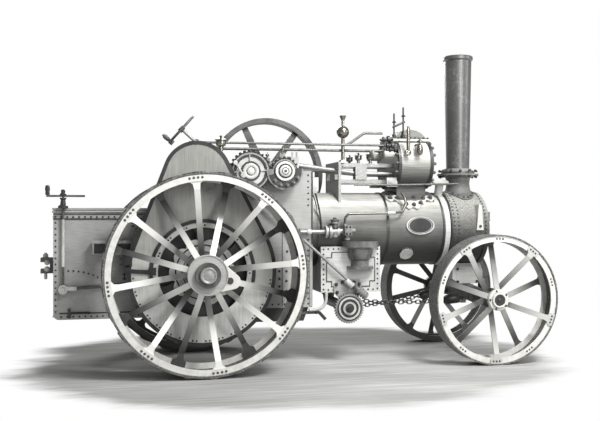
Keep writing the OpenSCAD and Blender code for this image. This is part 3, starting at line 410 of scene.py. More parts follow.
# %% Painted plate
def brushed_paint(name, light, dark, roughness, brush, coat=0.12, patch_mm=420, mark_mm=6):
    """Paint between two tones in large patches, with marks drawn out where brush is below 1."""
    material, tree, shader, place = new_finish(name, roughness, coat=coat)
    shader.inputs["Coat Roughness"].default_value = 0.25
    tone = dirty(tree, place, patch_mm, 5)
    marks = dirty(tree, place, mark_mm, 2, stretch=brush)
    both = add(tree, "ShaderNodeMix", links={"A": tone, "B": marks}, values={"Factor": 0.38},
        data_type="FLOAT")
    colour = add(tree, "ShaderNodeValToRGB", links={"Fac": both.outputs["Result"]},
        stops=[(0.36, dark), (0.64, light)]).outputs["Color"]
    tree.links.new(colour, shader.inputs["Base Color"])
    bump = add(tree, "ShaderNodeBump", links={"Height": marks},
        values={"Distance": 0.6 * MM, "Strength": 0.5})
    tree.links.new(bump.outputs["Normal"], shader.inputs["Normal"])
    return material


ACROSS = (0.05, 1, 1)
UPRIGHT = (1, 1, 0.05)
EVEN = (1, 1, 1)
plate_paint = brushed_paint("satin painted plate", "a4a4a1", "828280", 0.42, ACROSS)
cover_paint = brushed_paint("satin painted cover", "dededa", "b6b6b2", 0.45, UPRIGHT, mark_mm=14)
horn_paint = brushed_paint("light painted plate", "aaaaa6", "8b8b88", 0.45, ACROSS, mark_mm=12)
tank_paint = brushed_paint("pale painted tank", "c8c8c4", "a6a6a3", 0.45, ACROSS, mark_mm=12)
wheel_paint = brushed_paint("light wheel paint", "cfcec9", "b9b8b3", 0.42, EVEN, 0.1, 300, 20)
print("painted plate is ready")

# %% [markdown]
# Spokes cross from one edge of the wheel to the other. Their paint carries painted shade that
# grows with depth in the wheel, so one spoke runs from light at the outer face to dark deep
# inside. Depth in the wheel is the distance from the engine's middle plane, on whichever side.
# Faces that look inwards are darkened too, with painted shade and the mud that the wheels throw
# up, so the far wheels look dark.


# %% Spokes that darken inwards
def shaded_and_muddied(tree, shader, colour):
    """The colour, darkened by painted shade and mud as normal y times place y falls from -0.25 to
    -0.7.
    """
    coordinates = add(tree, "ShaderNodeTexCoord")
    faced = add(tree, "ShaderNodeSeparateXYZ", links={"Vector": coordinates.outputs["Normal"]})
    placed = add(tree, "ShaderNodeSeparateXYZ", links={"Vector": coordinates.outputs["Object"]})
    outwards = add(tree, "ShaderNodeMath", links={0: faced.outputs["Y"], 1: placed.outputs["Y"]},
        operation="MULTIPLY").outputs["Value"]
    # Inward-facing faces take painted shade and mud.
    clear_of_shade_and_mud = add(tree, "ShaderNodeMapRange", links={"Value": outwards},
        values={"From Min": -0.7, "From Max": -0.25}).outputs["Result"]
    both = add(tree, "ShaderNodeMix", links={"Factor": clear_of_shade_and_mud, "B": colour},
        values={"A": linear("3f3f3d")}, data_type="RGBA")
    tree.links.new(both.outputs["Result"], shader.inputs["Base Color"])


def depth_paint(name, deep, near, stops):
    """Paint with painted shade that follows the distance |y| from the middle plane, from deep to
    near.
    """
    material, tree, shader, place = new_finish(name, 0.38, coat=0.15)
    split = add(tree, "ShaderNodeSeparateXYZ", links={"Vector": place})
    reach = add(tree, "ShaderNodeMath", links={0: split.outputs["Y"]},
        operation="ABSOLUTE").outputs["Value"]
    # Painted shade: darker deeper in the wheel.
    shade = add(tree, "ShaderNodeMapRange", links={"Value": reach},
        values={"From Min": deep, "From Max": near}).outputs["Result"]
    cloud = dirty(tree, place, 140, 4)
    mixed = add(tree, "ShaderNodeMix", links={"A": shade, "B": cloud}, values={"Factor": 0.16},
        data_type="FLOAT")
    colour = add(tree, "ShaderNodeValToRGB", links={"Fac": mixed.outputs["Result"]},
        stops=stops).outputs["Color"]
    shaded_and_muddied(tree, shader, colour)
    bump = add(tree, "ShaderNodeBump", links={"Height": cloud},
        values={"Distance": 0.6 * MM, "Strength": 0.4})
    tree.links.new(bump.outputs["Normal"], shader.inputs["Normal"])
    return material


spoke_stops = [(0.08, "424240"), (0.45, "8c8c89"), (0.72, "d2d1cc"), (0.92, "dfded9")]
front_stops = [(0.08, "4c4c4a"), (0.50, "7c7c79"), (0.92, "b0b0ac")]
spoke_paint = depth_paint("driving spoke paint", REAR_FACE - 0.43, REAR_FACE - 0.03, spoke_stops)
front_spoke_paint = depth_paint("front spoke paint", FRONT_FACE - 0.24, FRONT_FACE - 0.01,
    front_stops)
print("spoke paints are ready")

# %% [markdown]
# Some finishes carry painted light and shade that change with height. A ramp over the height gives
# the band's painted shade, and this is multiplied into the paint that lies under it.


# %% Shade by height
def laid_on(tree, shader, shade, paint):
    """The surface's colour is the shade times the paint."""
    both = add(tree, "ShaderNodeMix", links={"A": shade, "B": paint}, values={"Factor": 1.0},
        data_type="RGBA", blend_type="MULTIPLY")
    tree.links.new(both.outputs["Result"], shader.inputs["Base Color"])


def by_height(tree, shader, place, low, high, stops, over):
    """Shade by height from low to high, through the stops, times the colour given in over."""
    split = add(tree, "ShaderNodeSeparateXYZ", links={"Vector": place})
    rise = add(tree, "ShaderNodeMapRange", links={"Value": split.outputs["Z"]},
        values={"From Min": low, "From Max": high})
    shade = add(tree, "ShaderNodeValToRGB", links={"Fac": rise.outputs["Result"]},
        stops=stops).outputs["Color"]
    laid_on(tree, shader, shade, over)


ALONG = (0.03, 1, 1)
print("shades by height are ready")

# %% [markdown]
# The barrel is lagged with felt and wood and wrapped in thin sheet iron. Rolled sheet takes a good
# polish under its paint, with fine marks that run along the boiler. One long light band near the
# crown is a painted highlight, and painted shade darkens the paint with height, from the bright
# crown down to the dark belly.
# %% Lagging sheet
lagging, tree, shader, place = new_finish("painted lagging sheet", 0.5, coat=0.04)
shader.inputs["Coat Roughness"].default_value = 0.3
wipe = dirty(tree, place, 9, 2, stretch=ALONG)
cloud = dirty(tree, place, 260, 5)
mixed = add(tree, "ShaderNodeMix", links={"A": cloud, "B": wipe}, values={"Factor": 0.5},
    data_type="FLOAT")
grime = add(tree, "ShaderNodeValToRGB", links={"Fac": mixed.outputs["Result"]},
    stops=[(0.36, "b9b9b6"), (0.64, "f4f4f1")]).outputs["Color"]
# Painted light and shade by height: a painted highlight band near the crown, painted shade towards
# the belly.
lagging_light_and_shade = [(0.0, "8e8e8b"), (0.07, "3c3c3a"), (0.28, "444442"), (0.50, "6a6a67"), (0.70, "888884"),
    (0.79, "b2b2ae"), (0.86, "e6e6e2"), (0.98, "a6a6a3")]
by_height(tree, shader, place, 1.075, 1.945, lagging_light_and_shade, grime)
bump = add(tree, "ShaderNodeBump", links={"Height": wipe},
    values={"Distance": 0.5 * MM, "Strength": 0.5})
tree.links.new(bump.outputs["Normal"], shader.inputs["Normal"])
print("lagging sheet is ready")

# %% [markdown]
# The gear cover is the other way round: it is painted paler low down, beside the wheel, as painted
# light where shadow falls, and darker at its lit top as painted shade. The sheet round the
# cylinders carries a painted highlight high on its upright sides and painted shade below, and the
# smokebox, which has no lagging, is painted lighter on its crown and darker below, as painted
# light and shade.
# %% Cover, cylinders and smokebox
tree = cover_paint.node_tree
shader = tree.nodes["Principled BSDF"]
brushed = shader.inputs["Base Color"].links[0].from_socket
place = add(tree, "ShaderNodeTexCoord").outputs["Object"]
# Painted light low down where shadow falls, and painted shade at the lit top.
cover_light_and_shade = [(0.0, "ffffff"), (0.50, "e2e2df"), (0.78, "b4b4b1"), (1.0, "acaca9")]
by_height(tree, shader, place, 0.267, 2.480, cover_light_and_shade, brushed)
block_paint, tree, shader, place = new_finish("sheet round the cylinders", 0.42, coat=0.12)
wipe = dirty(tree, place, 9, 2, stretch=ALONG)
grime = add(tree, "ShaderNodeValToRGB", links={"Fac": wipe},
    stops=[(0.36, "c4c4c1"), (0.64, "f2f2ef")]).outputs["Color"]
# Painted highlight high on the upright sides, painted shade below, and a painted dark line near
# the top.
block_light_and_shade = [(0.0, "6a6a68"), (0.26, "484846"), (0.44, "888885"), (0.60, "d0d0cc"), (0.72, "eaeae6"),
    (0.81, "dadad6"), (0.85, "84847f"), (1.0, "8c8c89")]
by_height(tree, shader, place, 1.85, 2.70, block_light_and_shade, grime)
bump = add(tree, "ShaderNodeBump", links={"Height": wipe},
    values={"Distance": 0.5 * MM, "Strength": 0.5})
tree.links.new(bump.outputs["Normal"], shader.inputs["Normal"])
smokebox_paint, tree, shader, place = new_finish("smokebox wrapper paint", 0.55, coat=0.05)
ash = dirty(tree, place, 16, 3, 0.8)
grime = add(tree, "ShaderNodeValToRGB", links={"Fac": ash},
    stops=[(0.40, "a6a6a3"), (0.62, "f2f2ef")]).outputs["Color"]
# Painted light on the crown and painted shade below.
smokebox_light_and_shade = [(0.0, "4e4e4c"), (0.10, "2c2c2b"), (0.35, "3a3a38"), (0.62, "787875"), (0.88, "b0b0ac")]
by_height(tree, shader, place, 1.062, 1.958, smokebox_light_and_shade, grime)
bump = add(tree, "ShaderNodeBump", links={"Height": ash},
    values={"Distance": 1.2 * MM, "Strength": 0.5})
tree.links.new(bump.outputs["Normal"], shader.inputs["Normal"])
print("covers and wrappers are ready")

# %% [markdown]
# The chimney and the firebox get hot, so their black burns off in patches and goes grey with ash.
# The speckles are large enough to show in the picture. The chimney is polished over its black,
# so it mirrors a lamp as one soft gleam.


# %% Heat-resisting black
def heat_black(name, light, dark, speckle_mm, roughness=0.55, coat=0.05):
    """Black with grey speckles of a size, over a cloudy ground, and a fine rough grain."""
    material, tree, shader, place = new_finish(name, roughness, coat=coat)
    shader.inputs["Coat Roughness"].default_value = 0.42
    cloud = dirty(tree, place, 300, 4)
    speckle = dirty(tree, place, speckle_mm, 3, 0.8)
    both = add(tree, "ShaderNodeMix", links={"A": cloud, "B": speckle}, values={"Factor": 0.55},
        data_type="FLOAT")
    colour = add(tree, "ShaderNodeValToRGB", links={"Fac": both.outputs["Result"]},
        stops=[(0.38, dark), (0.52, dark), (0.66, light)]).outputs["Color"]
    tree.links.new(colour, shader.inputs["Base Color"])
    bump = add(tree, "ShaderNodeBump", links={"Height": speckle},
        values={"Distance": 1.2 * MM, "Strength": 0.5})
    tree.links.new(bump.outputs["Normal"], shader.inputs["Normal"])
    return material


smokebox_black = heat_black("smokebox black", "8b8b88", "565655", 16)
chimney_black = heat_black("chimney black", "666663", "323231", 22, 0.38, 0.9)
ash_grey = heat_black("ash-grey casting", "94948f", "5c5c5a", 18)
dark_plate = heat_black("firebox black", "6c6c6a", "3a3a39", 30)
chimney_shader = chimney_black.node_tree.nodes["Principled BSDF"]
chimney_shader.inputs["Coat IOR"].default_value = 1.7
print("blacks are ready")

# %% [markdown]
# Castings keep the grain of the sand mould under their paint, and forgings keep the scale of the
# fire. Both are a fine rough bump with a satin shine. The forged parts are blacker.


# %% Cast and forged iron
def rough_iron(name, light, dark, grain_mm, roughness, coat=0.08):
    """Painted iron with a sandy grain of that size and slight change of tone."""
    material, tree, shader, place = new_finish(name, roughness, coat=coat)
    grain = dirty(tree, place, grain_mm, 6, 0.7)
    cloud = dirty(tree, place, 180, 3)
    tone = add(tree, "ShaderNodeValToRGB", links={"Fac": cloud},
        stops=[(0.38, dark), (0.62, light)]).outputs["Color"]
    tree.links.new(tone, shader.inputs["Base Color"])
    bump = add(tree, "ShaderNodeBump", links={"Height": grain},
        values={"Distance": 1.4 * MM, "Strength": 0.55})
    tree.links.new(bump.outputs["Normal"], shader.inputs["Normal"])
    return material


cast_iron = rough_iron("painted cast iron", "8a8a87", "6a6a68", 9, 0.48)
flywheel_iron = rough_iron("flywheel iron", "5e5e5c", "424240", 9, 0.5)
light_casting = rough_iron("light painted casting", "c2c2be", "a2a29f", 9, 0.45)
enamel = rough_iron("dark stoved enamel", "72726f", "545452", 14, 0.26, 0.6)
dark_metal = rough_iron("oil-blackened iron", "333332", "1f1f1f", 12, 0.42)
forged_iron = rough_iron("black forged iron", "5a5a58", "3c3c3b", 12, 0.5)
print("irons are ready")

# %% [markdown]
# Shafts, rods and gear teeth are bare steel, turned or planed and kept oiled. Bare metal has
# almost no colour of its own, and shows what surrounds it, blurred by fine tool marks. The spring
# is of the same metal, but dull. Brass and copper differ by their tint alone.


# %% Bare metals
def bare_metal(name, light, dark, roughness, mark_mm, stretch, shine=1.0):
    """Metal between two tones, its gloss and a fine bump both following the tool marks."""
    material, tree, shader, place = new_finish(name, roughness, metallic=shine)
    marks = dirty(tree, place, mark_mm, 3, stretch=stretch)
    tone = add(tree, "ShaderNodeValToRGB", links={"Fac": marks},
        stops=[(0.35, dark), (0.65, light)]).outputs["Color"]
    tree.links.new(tone, shader.inputs["Base Color"])
    gloss = add(tree, "ShaderNodeMapRange", links={"Value": dirty(tree, place, 60, 4)},
        values={"To Min": roughness - 0.08, "To Max": roughness + 0.1})
    tree.links.new(gloss.outputs["Result"], shader.inputs["Roughness"])
    bump = add(tree, "ShaderNodeBump", links={"Height": marks},
        values={"Distance": 0.3 * MM, "Strength": 0.35})
    tree.links.new(bump.outputs["Normal"], shader.inputs["Normal"])
    return material


TURNED = (0.15, 1, 1)
bright_steel = bare_metal("bright turned steel", "a6a6a3", "7b7b78", 0.44, 5, TURNED, 0.55)
gear_steel = bare_metal("oiled gear steel", "a9a9a6", "7c7c7a", 0.5, 8, EVEN, 0.6)
spring_steel = bare_metal("dull spring steel", "8d8d8c", "666665", 0.45, 10, (1, 0.1, 1))
rod_steel = bare_metal("dull steel rod", "84847f", "585856", 0.5, 8, TURNED, 0.7)
brass = bare_metal("polished brass", "9d9a90", "6b6962", 0.26, 12, EVEN)
copper = bare_metal("dull copper tube", "7c7873", "5a5753", 0.34, 12, EVEN)
print("metals are ready")

# %% [markdown]
# Past the bright ring at their roots, the gears' teeth are painted dark, for the black grease that
# gathers there and as painted shade in the gaps between them. The flywheel's paint carries a dark
# line of painted shade just inside its rim.


# %% Grease and painted shade by the distance from an axle
def by_radius(material, axle, stops):
    """Shade by the distance from a shaft's centre line in metres, times the tone it has."""
    tree = material.node_tree
    shader = tree.nodes["Principled BSDF"]
    tone = shader.inputs["Base Color"].links[0].from_socket
    place = add(tree, "ShaderNodeTexCoord").outputs["Object"]
    far = distance(tree, place, (axle[0], 0, axle[2]), (1, 0, 1))
    shade = add(tree, "ShaderNodeValToRGB", links={"Fac": far}, stops=stops).outputs["Color"]
    laid_on(tree, shader, shade, tone)


# The teeth go dark past their roots: grease, and painted shade in the gaps between them.
by_radius(gear_steel, at(GEAR_X, 0, GEAR_Z), [(0.200, "ffffff"), (0.205, "4a4a48")])
crank_steel = bare_metal("oiled crank steel", "a6a6a3", "7b7b78", 0.44, 5, TURNED, 0.55)
# The crank pinion's teeth likewise: grease and painted shade.
by_radius(crank_steel, at(CRANK_X, 0, CRANK_Z), [(0.128, "ffffff"), (0.134, "4a4a48")])
RIM_IN = 0.634
# A dark line of painted shade just inside the flywheel's rim.
rim_shade_line = [(RIM_IN - 0.03, "e8e8e4"), (RIM_IN - 0.006, "5a5a58"), (RIM_IN + 0.005, "5a5a58"),
    (RIM_IN + 0.012, "ffffff")]
by_radius(flywheel_iron, at(CRANK_X, 0, CRANK_Z), rim_shade_line)
print("grease is on")

# %% [markdown]
# The frame's own nodes get these finishes first. The record sorts its nodes into material slots,
# so most of them follow from their slot, and the few that the picture shows lighter or darker
# than their neighbours are then named one by one.
# %% Finishes for the frame's nodes
BY_SLOT = {
    "lagging_sheet": lagging,
    "dark_plate": dark_plate,
    "painted_plate": plate_paint,
    "smokebox_black": smokebox_black,
    "wheel_paint": wheel_paint,
    "cast_iron": cast_iron,
    "forged_iron": forged_iron,
    "bright_steel": bright_steel,
    "spring_steel": spring_steel,
    "brass": brass,
    "copper_pipe": copper,
}

BY_NODE = {
    "chimney": chimney_black,
    "gear_cover": cover_paint,
    "hornplates": horn_paint,
    "second_shaft": gear_steel,
    "crankshaft": crank_steel,
    "rear_hub_right": spoke_paint,
    "rear_hub_left": spoke_paint,
    "front_hub_right": front_spoke_paint,
    "front_hub_left": front_spoke_paint,
    "fire_door": dark_plate,
    "main_gear": dark_metal,
    "winding_drum": light_casting,
    "third_shaft": bright_steel,
    "flywheel": flywheel_iron,
    "cylinder_block": block_paint,
    "safety_valves": dark_metal,
    "control_rods": rod_steel,
    "belly_tank": tank_paint,
    "tank_filler": enamel,
    "perch_bracket": horn_paint,
    "smokebox": smokebox_paint,
    "chimney_base": ash_grey,
    "worm_wheel": cast_iron,
}
for part in frame["record"]["subparts"]:
    finish = BY_NODE.get(part["node"], BY_SLOT[part["material_slot"]])
    surface = nodes[part["node"]].data
    surface.materials.clear()
    surface.materials.append(finish)

# %% [markdown]
# Rivets were closed red hot, so each has a low round head and sits a little into its plate. Bolts
# carry a hexagonal nut with a chamfer, over a washer. Each is drawn once with few faces, because
# there are hundreds, and the same heads then serve the whole engine.


# %% Rivets, bolts and rows of them
def rivet(radius, sides=8):
    """Low dome: height 0.58 of the radius, sunk by a tenth, as a profile turned round."""
    profile = [(0, -0.1), (1, -0.1), (0.94, 0.22), (0.62, 0.46), (0, 0.58)]
    return turned(radius * np.array(profile), sides)


def nut(across, height):
    """Hexagonal nut on a washer, with a chamfered top and the end of its bolt."""
    r = across / 2
    washer = turned([(0, -0.001), (1.2 * r, -0.001), (1.2 * r, 0.15 * r), (0, 0.15 * r)], 16)
    body = [(0, 0.1 * r), (r, 0.1 * r), (r, height * 0.8), (0.86 * r, height), (0, height)]
    end = [(0, height), (0.5 * r, height), (0.5 * r, height * 1.3), (0, height * 1.35)]
    return joined(washer, turned(body, 6), turned(end, 10))


def row(a, b, count):
    """Places in a straight row from a to b: a + t (b - a) with t from 0 to 1."""
    t = np.linspace(0, 1, count)[:, None]
    return np.array(a) + t * (np.array(b) - np.array(a))


def side_on(shape, x, y, z):
    """A flat-drawn shape against the near side: its x goes forward, its y up and its z inward."""
    points, quads = shape
    return points[:, [0, 2, 1]] + at(x, y, z), quads


small_rivet = rivet(0.011)
big_rivet = rivet(0.015)
bolt = nut(0.042, 0.026)
print("rivet faces", len(big_rivet[1]))

# %% [markdown]
# The driving wheels are built up from flat bars. Their tread plate is worn by the road to bare
# dark iron, and so are the slanting strakes, while the ring and the spokes keep their light paint.
# On the wheel's face this dark band is drawn as wide as the shade at the ring's rounded edge, so
# it is partly painted shade.
# That boundary follows the wheel's radius, so the finish measures each point's distance from the
# axle: a Mapping node puts the axle at the pattern's centre.


# %% Worn treads
def worn_and_shaded_tread(name, axle, edge):
    """Paint inside the radius edge, and outside it road-worn iron that is partly painted shade,
    measured round the axle.
    """
    material, tree, shader, place = new_finish(name, 0.4, coat=0.12)
    radius = distance(tree, place, (axle[0], 0, axle[1]), (1, 0, 1))
    worn = add(tree, "ShaderNodeMapRange", links={"Value": radius},
        values={"From Min": edge - 0.002, "From Max": edge + 0.002}).outputs["Result"]
    cloud = dirty(tree, place, 60, 4)
    paint = add(tree, "ShaderNodeValToRGB", links={"Fac": cloud},
        stops=[(0.35, "c3c2bd"), (0.65, "d6d5d0")]).outputs["Color"]
    scratches = dirty(tree, place, 16, 5, 0.75)
    iron = add(tree, "ShaderNodeValToRGB", links={"Fac": scratches},
        stops=[(0.4, "353534"), (0.6, "7a7a78")]).outputs["Color"]
    mix = add(tree, "ShaderNodeMix", links={"Factor": worn, "A": paint, "B": iron},
        data_type="RGBA")
    shaded_and_muddied(tree, shader, mix.outputs["Result"])
    gloss = add(tree, "ShaderNodeMapRange", links={"Value": worn},
        values={"To Min": 0.36, "To Max": 0.6})
    tree.links.new(gloss.outputs["Result"], shader.inputs["Roughness"])
    bump = add(tree, "ShaderNodeBump", links={"Height": scratches},
        values={"Distance": 0.8 * MM, "Strength": 0.4})
    tree.links.new(bump.outputs["Normal"], shader.inputs["Normal"])
    return material


# The dark outer bands are road wear and, on the face, partly painted shade at the rings' rounded
# edges.
rear_tread = worn_and_shaded_tread("road-worn rear wheel", (REAR_AXLE[0], REAR_R), REAR_R - 0.036)
front_tread = worn_and_shaded_tread("road-worn front wheel", (FRONT_AXLE[0], FRONT_R), FRONT_R - 0.017)
for side in ("right", "left"):
    for axle, finish in (("rear", rear_tread), ("front", front_tread)):
        rim = nodes[f"{axle}_rim_{side}"].data
        rim.materials.clear()
        rim.materials.append(finish)
print("treads are worn")

# %% [markdown]
# On a wheel, rivets come in short arcs where a spoke's foot meets the ring: four on a driving
# wheel, three on a front wheel. An arc is a few angles about the spoke's own angle, at one radius.
# The same list of angles, mirrored, serves the wheel on the other side.


# %% Rivets round the rings
def arcs(angles, radius, count, pitch, depth):
    """Places in short arcs on a wheel's face: angle + k pitch / radius, k centred on zero."""
    offsets = (np.arange(count) - (count - 1) / 2) * pitch / radius
    a = (np.radians(angles)[:, None] + offsets).ravel()
    return np.column_stack([radius * np.cos(a), radius * np.sin(a), np.full(len(a), depth)])


WHEELS = {"rear": (REAR_AXLE, REAR_FACE, REAR_R), "front": (FRONT_AXLE, FRONT_FACE, FRONT_R)}


def on_wheels(wheel, name, shape, finish):
    """A flat-drawn shape on the outer face of both wheels of an axle, one piece for each."""
    axle, face, radius = WHEELS[wheel]
    x = (axle[0] - REAR_AXLE[0]) * 1000
    near = side_on(shape, x, -face * 1000, radius * 1000)
    piece(f"{wheel}_{name}_right", near, f"{wheel}_wheel_right", finish)
    piece(f"{wheel}_{name}_left", mirrored(near), f"{wheel}_wheel_left", finish)


OUTWARD = (0, 0, -1)
UP = (0, 1, 0)
REAR_SPOKES = 7 + np.arange(8) * 45
FRONT_SPOKES = 268 + np.arange(10) * 36
RING_DEPTH = 0.008
FOOT_DEPTH = 0.014
rear_places = arcs(REAR_SPOKES, REAR_R - 0.062, 4, 0.044, RING_DEPTH)
rear_rivets = many(rivet(0.0145, 10), rear_places, OUTWARD, UP)
on_feet = arcs(FRONT_SPOKES[0::2], FRONT_R - 0.046, 3, 0.036, 0.0)
on_ring = arcs(FRONT_SPOKES[1::2], FRONT_R - 0.046, 3, 0.036, FOOT_DEPTH)
front_rivets = many(rivet(0.012, 10), np.vstack([on_feet, on_ring]), OUTWARD, UP)
on_wheels("rear", "ring_rivets", rear_rivets, forged_iron)
on_wheels("front", "ring_rivets", front_rivets, forged_iron)
print("ring rivets", len(rear_rivets[1]), len(front_rivets[1]))

# %% [markdown]
# A driving wheel is coupled to its axle by a pear-shaped driving plate with a pin through its
# nose. The plate lies behind a plain raised ring. The pear is the outline round two circles of
# different size: an arc of each, joined by their common tangents.


# %% Driving plate and hub
def pear(big, small, reach, sides=20):
    """Outline round circles of radius big at 0 and small at reach: two arcs with acos((R-r)/d)."""
    lean = math.acos((big - small) / reach)
    nose = np.linspace(-lean, lean, sides)
    back = np.linspace(lean, 2 * np.pi - lean, 2 * sides)
    tip = np.column_stack([reach + small * np.cos(nose), small * np.sin(nose)])
    tail = np.column_stack([big * np.cos(back), big * np.sin(back)])
    return np.vstack([tip, tail])


def spun(outline, degrees):
    """An outline turned round its origin."""
    a = math.radians(degrees)
    turn = np.array([[math.cos(a), -math.sin(a)], [math.sin(a), math.cos(a)]])
    return outline @ turn.T


def flat_ring(inner, outer, z, height, edge=0.003):
    """Flat ring turned from a square profile with broken edges, its closed loop repeated."""
    top = z + height
    profile = [(inner, z), (outer, z), (outer, top - edge), (outer - edge, top),
        (inner + edge, top), (inner, top - edge), (inner, z)]
    return turned(profile, 64)


def raised_on_wheels(wheel, name, shape, finish):
    """A flat-drawn shape on both wheels of an axle, its heights turned to grow outwards."""
    points, quads = shape
    on_wheels(wheel, name, (points * [1, 1, -1], quads), finish)


def set_at(shape, x, y, height):
    """A flat-drawn shape moved to a place on the wheel's face."""
    points, quads = shape
    return points + [x, y, height], quads


NOSE = -15
PIN_REACH = 0.236
pin_x = PIN_REACH * math.cos(math.radians(NOSE))
pin_y = PIN_REACH * math.sin(math.radians(NOSE))
plate_outline = spun(pear(0.200, 0.080, 0.268), NOSE)
driving_plate = set_at(plate(plate_outline, 0.030, 0.006), 0, 0, -0.040)
raised_on_wheels("rear", "driving_plate", driving_plate, wheel_paint)
pin_head = turned([(0, -0.012), (0.036, -0.012), (0.036, -0.006), (0.030, 0.0), (0, 0.002)], 24)
raised_on_wheels("rear", "drive_pin", set_at(pin_head, pin_x, pin_y, 0), dark_metal)
hub_face = joined(
    flat_ring(0.1285, 0.205, -0.040, 0.036),
    flat_ring(0.196, 0.211, -0.040, 0.044),
    flat_ring(0.1285, 0.140, -0.010, 0.012),
)
raised_on_wheels("rear", "hub_ring", hub_face, horn_paint)
grooves = joined(
    flat_ring(0.116, 0.131, -0.002, 0.048),
    flat_ring(0.091, 0.122, 0.0385, 0.006),
    flat_ring(0.081, 0.090, 0.0385, 0.031),
)
raised_on_wheels("rear", "hub_grooves", grooves, forged_iron)
cap = turned([(0.066, 0.062), (0.0845, 0.062), (0.0845, 0.070), (0.080, 0.074), (0.070, 0.074),
    (0.066, 0.070), (0.056, 0.0668), (0.044, 0.070), (0.024, 0.0735), (0, 0.0745)], 48)
raised_on_wheels("rear", "hub_cap", cap, bright_steel)
print("driving plates are on")

# %% [markdown]
# The front hubs are plainer: a bright turned ring round a dark dished cap, which keeps grit out of
# the bearing. Bolts through the hub's flange hold the spokes.
# %% Front caps and flange bolts
front_ring = joined(
    flat_ring(0.0825, 0.121, -0.018, 0.030, 0.008),
    flat_ring(0.064, 0.084, 0.0, 0.038, 0.004),
)
raised_on_wheels("front", "hub_ring", front_ring, wheel_paint)
front_dish = joined(
    turned([(0, 0.0295), (0.066, 0.0295), (0.064, 0.034), (0.030, 0.031), (0, 0.031)], 40),
    turned([(0, 0.03), (0.022, 0.03), (0.022, 0.037), (0.014, 0.042), (0, 0.043)], 24),
)
raised_on_wheels("front", "hub_cap", front_dish, dark_metal)
bolt_places = arcs(FRONT_SPOKES[1::2] + 18, 0.104, 1, 0, 0.011)
front_bolts = many(nut(0.022, 0.012), bolt_places, (0, 0, 1), UP)
raised_on_wheels("front", "flange_bolts", front_bolts, forged_iron)
print("wheel pieces", len(made))

# %% [markdown]
# From here on the pieces follow the engine from its tender to its front axle. Most of them are
# strips, turned parts and rows of bolts, so a few words for placing them come first. A strip has
# a square section, a lathe part is turned about its own axis, and a band follows an outline. Two
# finishes come back on so many small pieces that they get a word each as well.


# %% Placing strips, lathe parts and bands
def strip(path, proud, wide):
    """Square bar on the near side: it stands proud outwards and is wide across its run."""
    section = [(0, -wide / 2), (proud, -wide / 2), (proud, wide / 2), (0, wide / 2)]
    return swept(path, section)


def flat_bar(path, wide, proud):
    """Flat bar along any path on the near side, wide across its run and proud outwards."""
    section = [(-wide / 2, 0), (wide / 2, 0), (wide / 2, proud), (-wide / 2, proud)]
    return swept(path, section, NEAR)


def upright_strip(x, y, low, high, proud, wide):
    """Square bar that stands on the near side from low to high."""
    return flat_bar([at(x, y, low), at(x, y, high)], wide, proud)


def lathe(profile, x, y, z, direction, sides):
    """A turned part whose axis starts at a place and points in a direction."""
    return many(turned(profile, sides), at(x, y, z), direction)


def disc(radius, height, x, y, z, direction, sides):
    """A plain turned block with square edges."""
    return lathe([(0, 0), (radius, 0), (radius, height), (0, height)], x, y, z, direction, sides)


def ring(inner, outer, height, x, y, z, sides, direction=NEAR):
    """A turned ring of square section between two radii."""
    section = [(inner, 0), (outer, 0), (outer, height), (inner, height), (inner, 0)]
    return lathe(section, x, y, z, direction, sides)


def band(outer, inner, height):
    """Flat band between two outlines of equally many points, with a square section."""
    loops = [(outer, 0), (outer, height), (inner, height), (inner, 0), (outer, 0)]
    rows = [np.column_stack([flat, np.full(len(flat), z)]) for flat, z in loops]
    return grid(np.array(rows))


def on_side(shape, y):
    """A shape drawn flat in metres from the rear axle's foot, laid on the plane y, outwards."""
    points, quads = shape
    return points[:, [0, 2, 1]] * [1, -1, 1] + at(0, y, 0), quads


def arc_of(radius, start, end, steps, centre):
    """Points on an arc: centre + radius (cos a, sin a), angles in degrees."""
    a = np.radians(np.linspace(start, end, steps))
    return np.array(centre) + radius * np.column_stack([np.cos(a), np.sin(a)])


def round_places(radius, angles, x, y, z):
    """Places on a circle that faces the near side, its angles counted up from the front."""
    a = np.radians(np.array(angles, float))
    return at(x + radius * np.cos(a), y, z + radius * np.sin(a))


def black_iron(name, shape):
    """A piece of oil-blackened iron on the engine's body."""
    piece(name, shape, "root", dark_metal)


def pale_casting(name, shape):
    """A light painted casting on the engine's body."""
    piece(name, shape, "root", light_casting)


print("words for placing are ready")

# %% [markdown]
# The tender is a riveted tank with a coal bunker. Half-round beads stiffen its top edge, and an
# angle runs along its rear and its bottom with rivets about 60 mm apart, as in all such tanks.
# %% Tender beads and rivets
TENDER_Y = -457
bead_near = tube(at([-1566, -900, -510], TENDER_Y - 3, 1716), 0.011)
bead_far = tube(at([-1566, -1200, -872], -TENDER_Y + 3, 1716), 0.011)
bead_rear = tube(at(-1566, [-455, 0, 455], 1716), 0.011)
piece("tender_beads", joined(bead_near, bead_far, bead_rear), "root", horn_paint)
line_near = strip(at([-1564, -900, -470], TENDER_Y - 1, 1640), 0.005, 0.014)
line_low = strip(at([-1500, -900, -232], TENDER_Y - 1, 640), 0.005, 0.012)
line_mid = strip(at([-1564, -900, -470], TENDER_Y - 1, 1690), 0.004, 0.008)
black_iron("tender_lines", both_sides(joined(line_near, line_low, line_mid)))
angle_low = strip(at([-1490, -900, -232], TENDER_Y - 1, 604), 0.007, 0.052)
angle_rear = upright_strip(-1537, TENDER_Y - 1, 640, 1630, 0.007, 0.046)
piece("tender_angles", both_sides(joined(angle_low, angle_rear)), "root",
    plate_paint)
curve = arc_of(0.62, 96, 62, 8, (-1.395, 0.47))
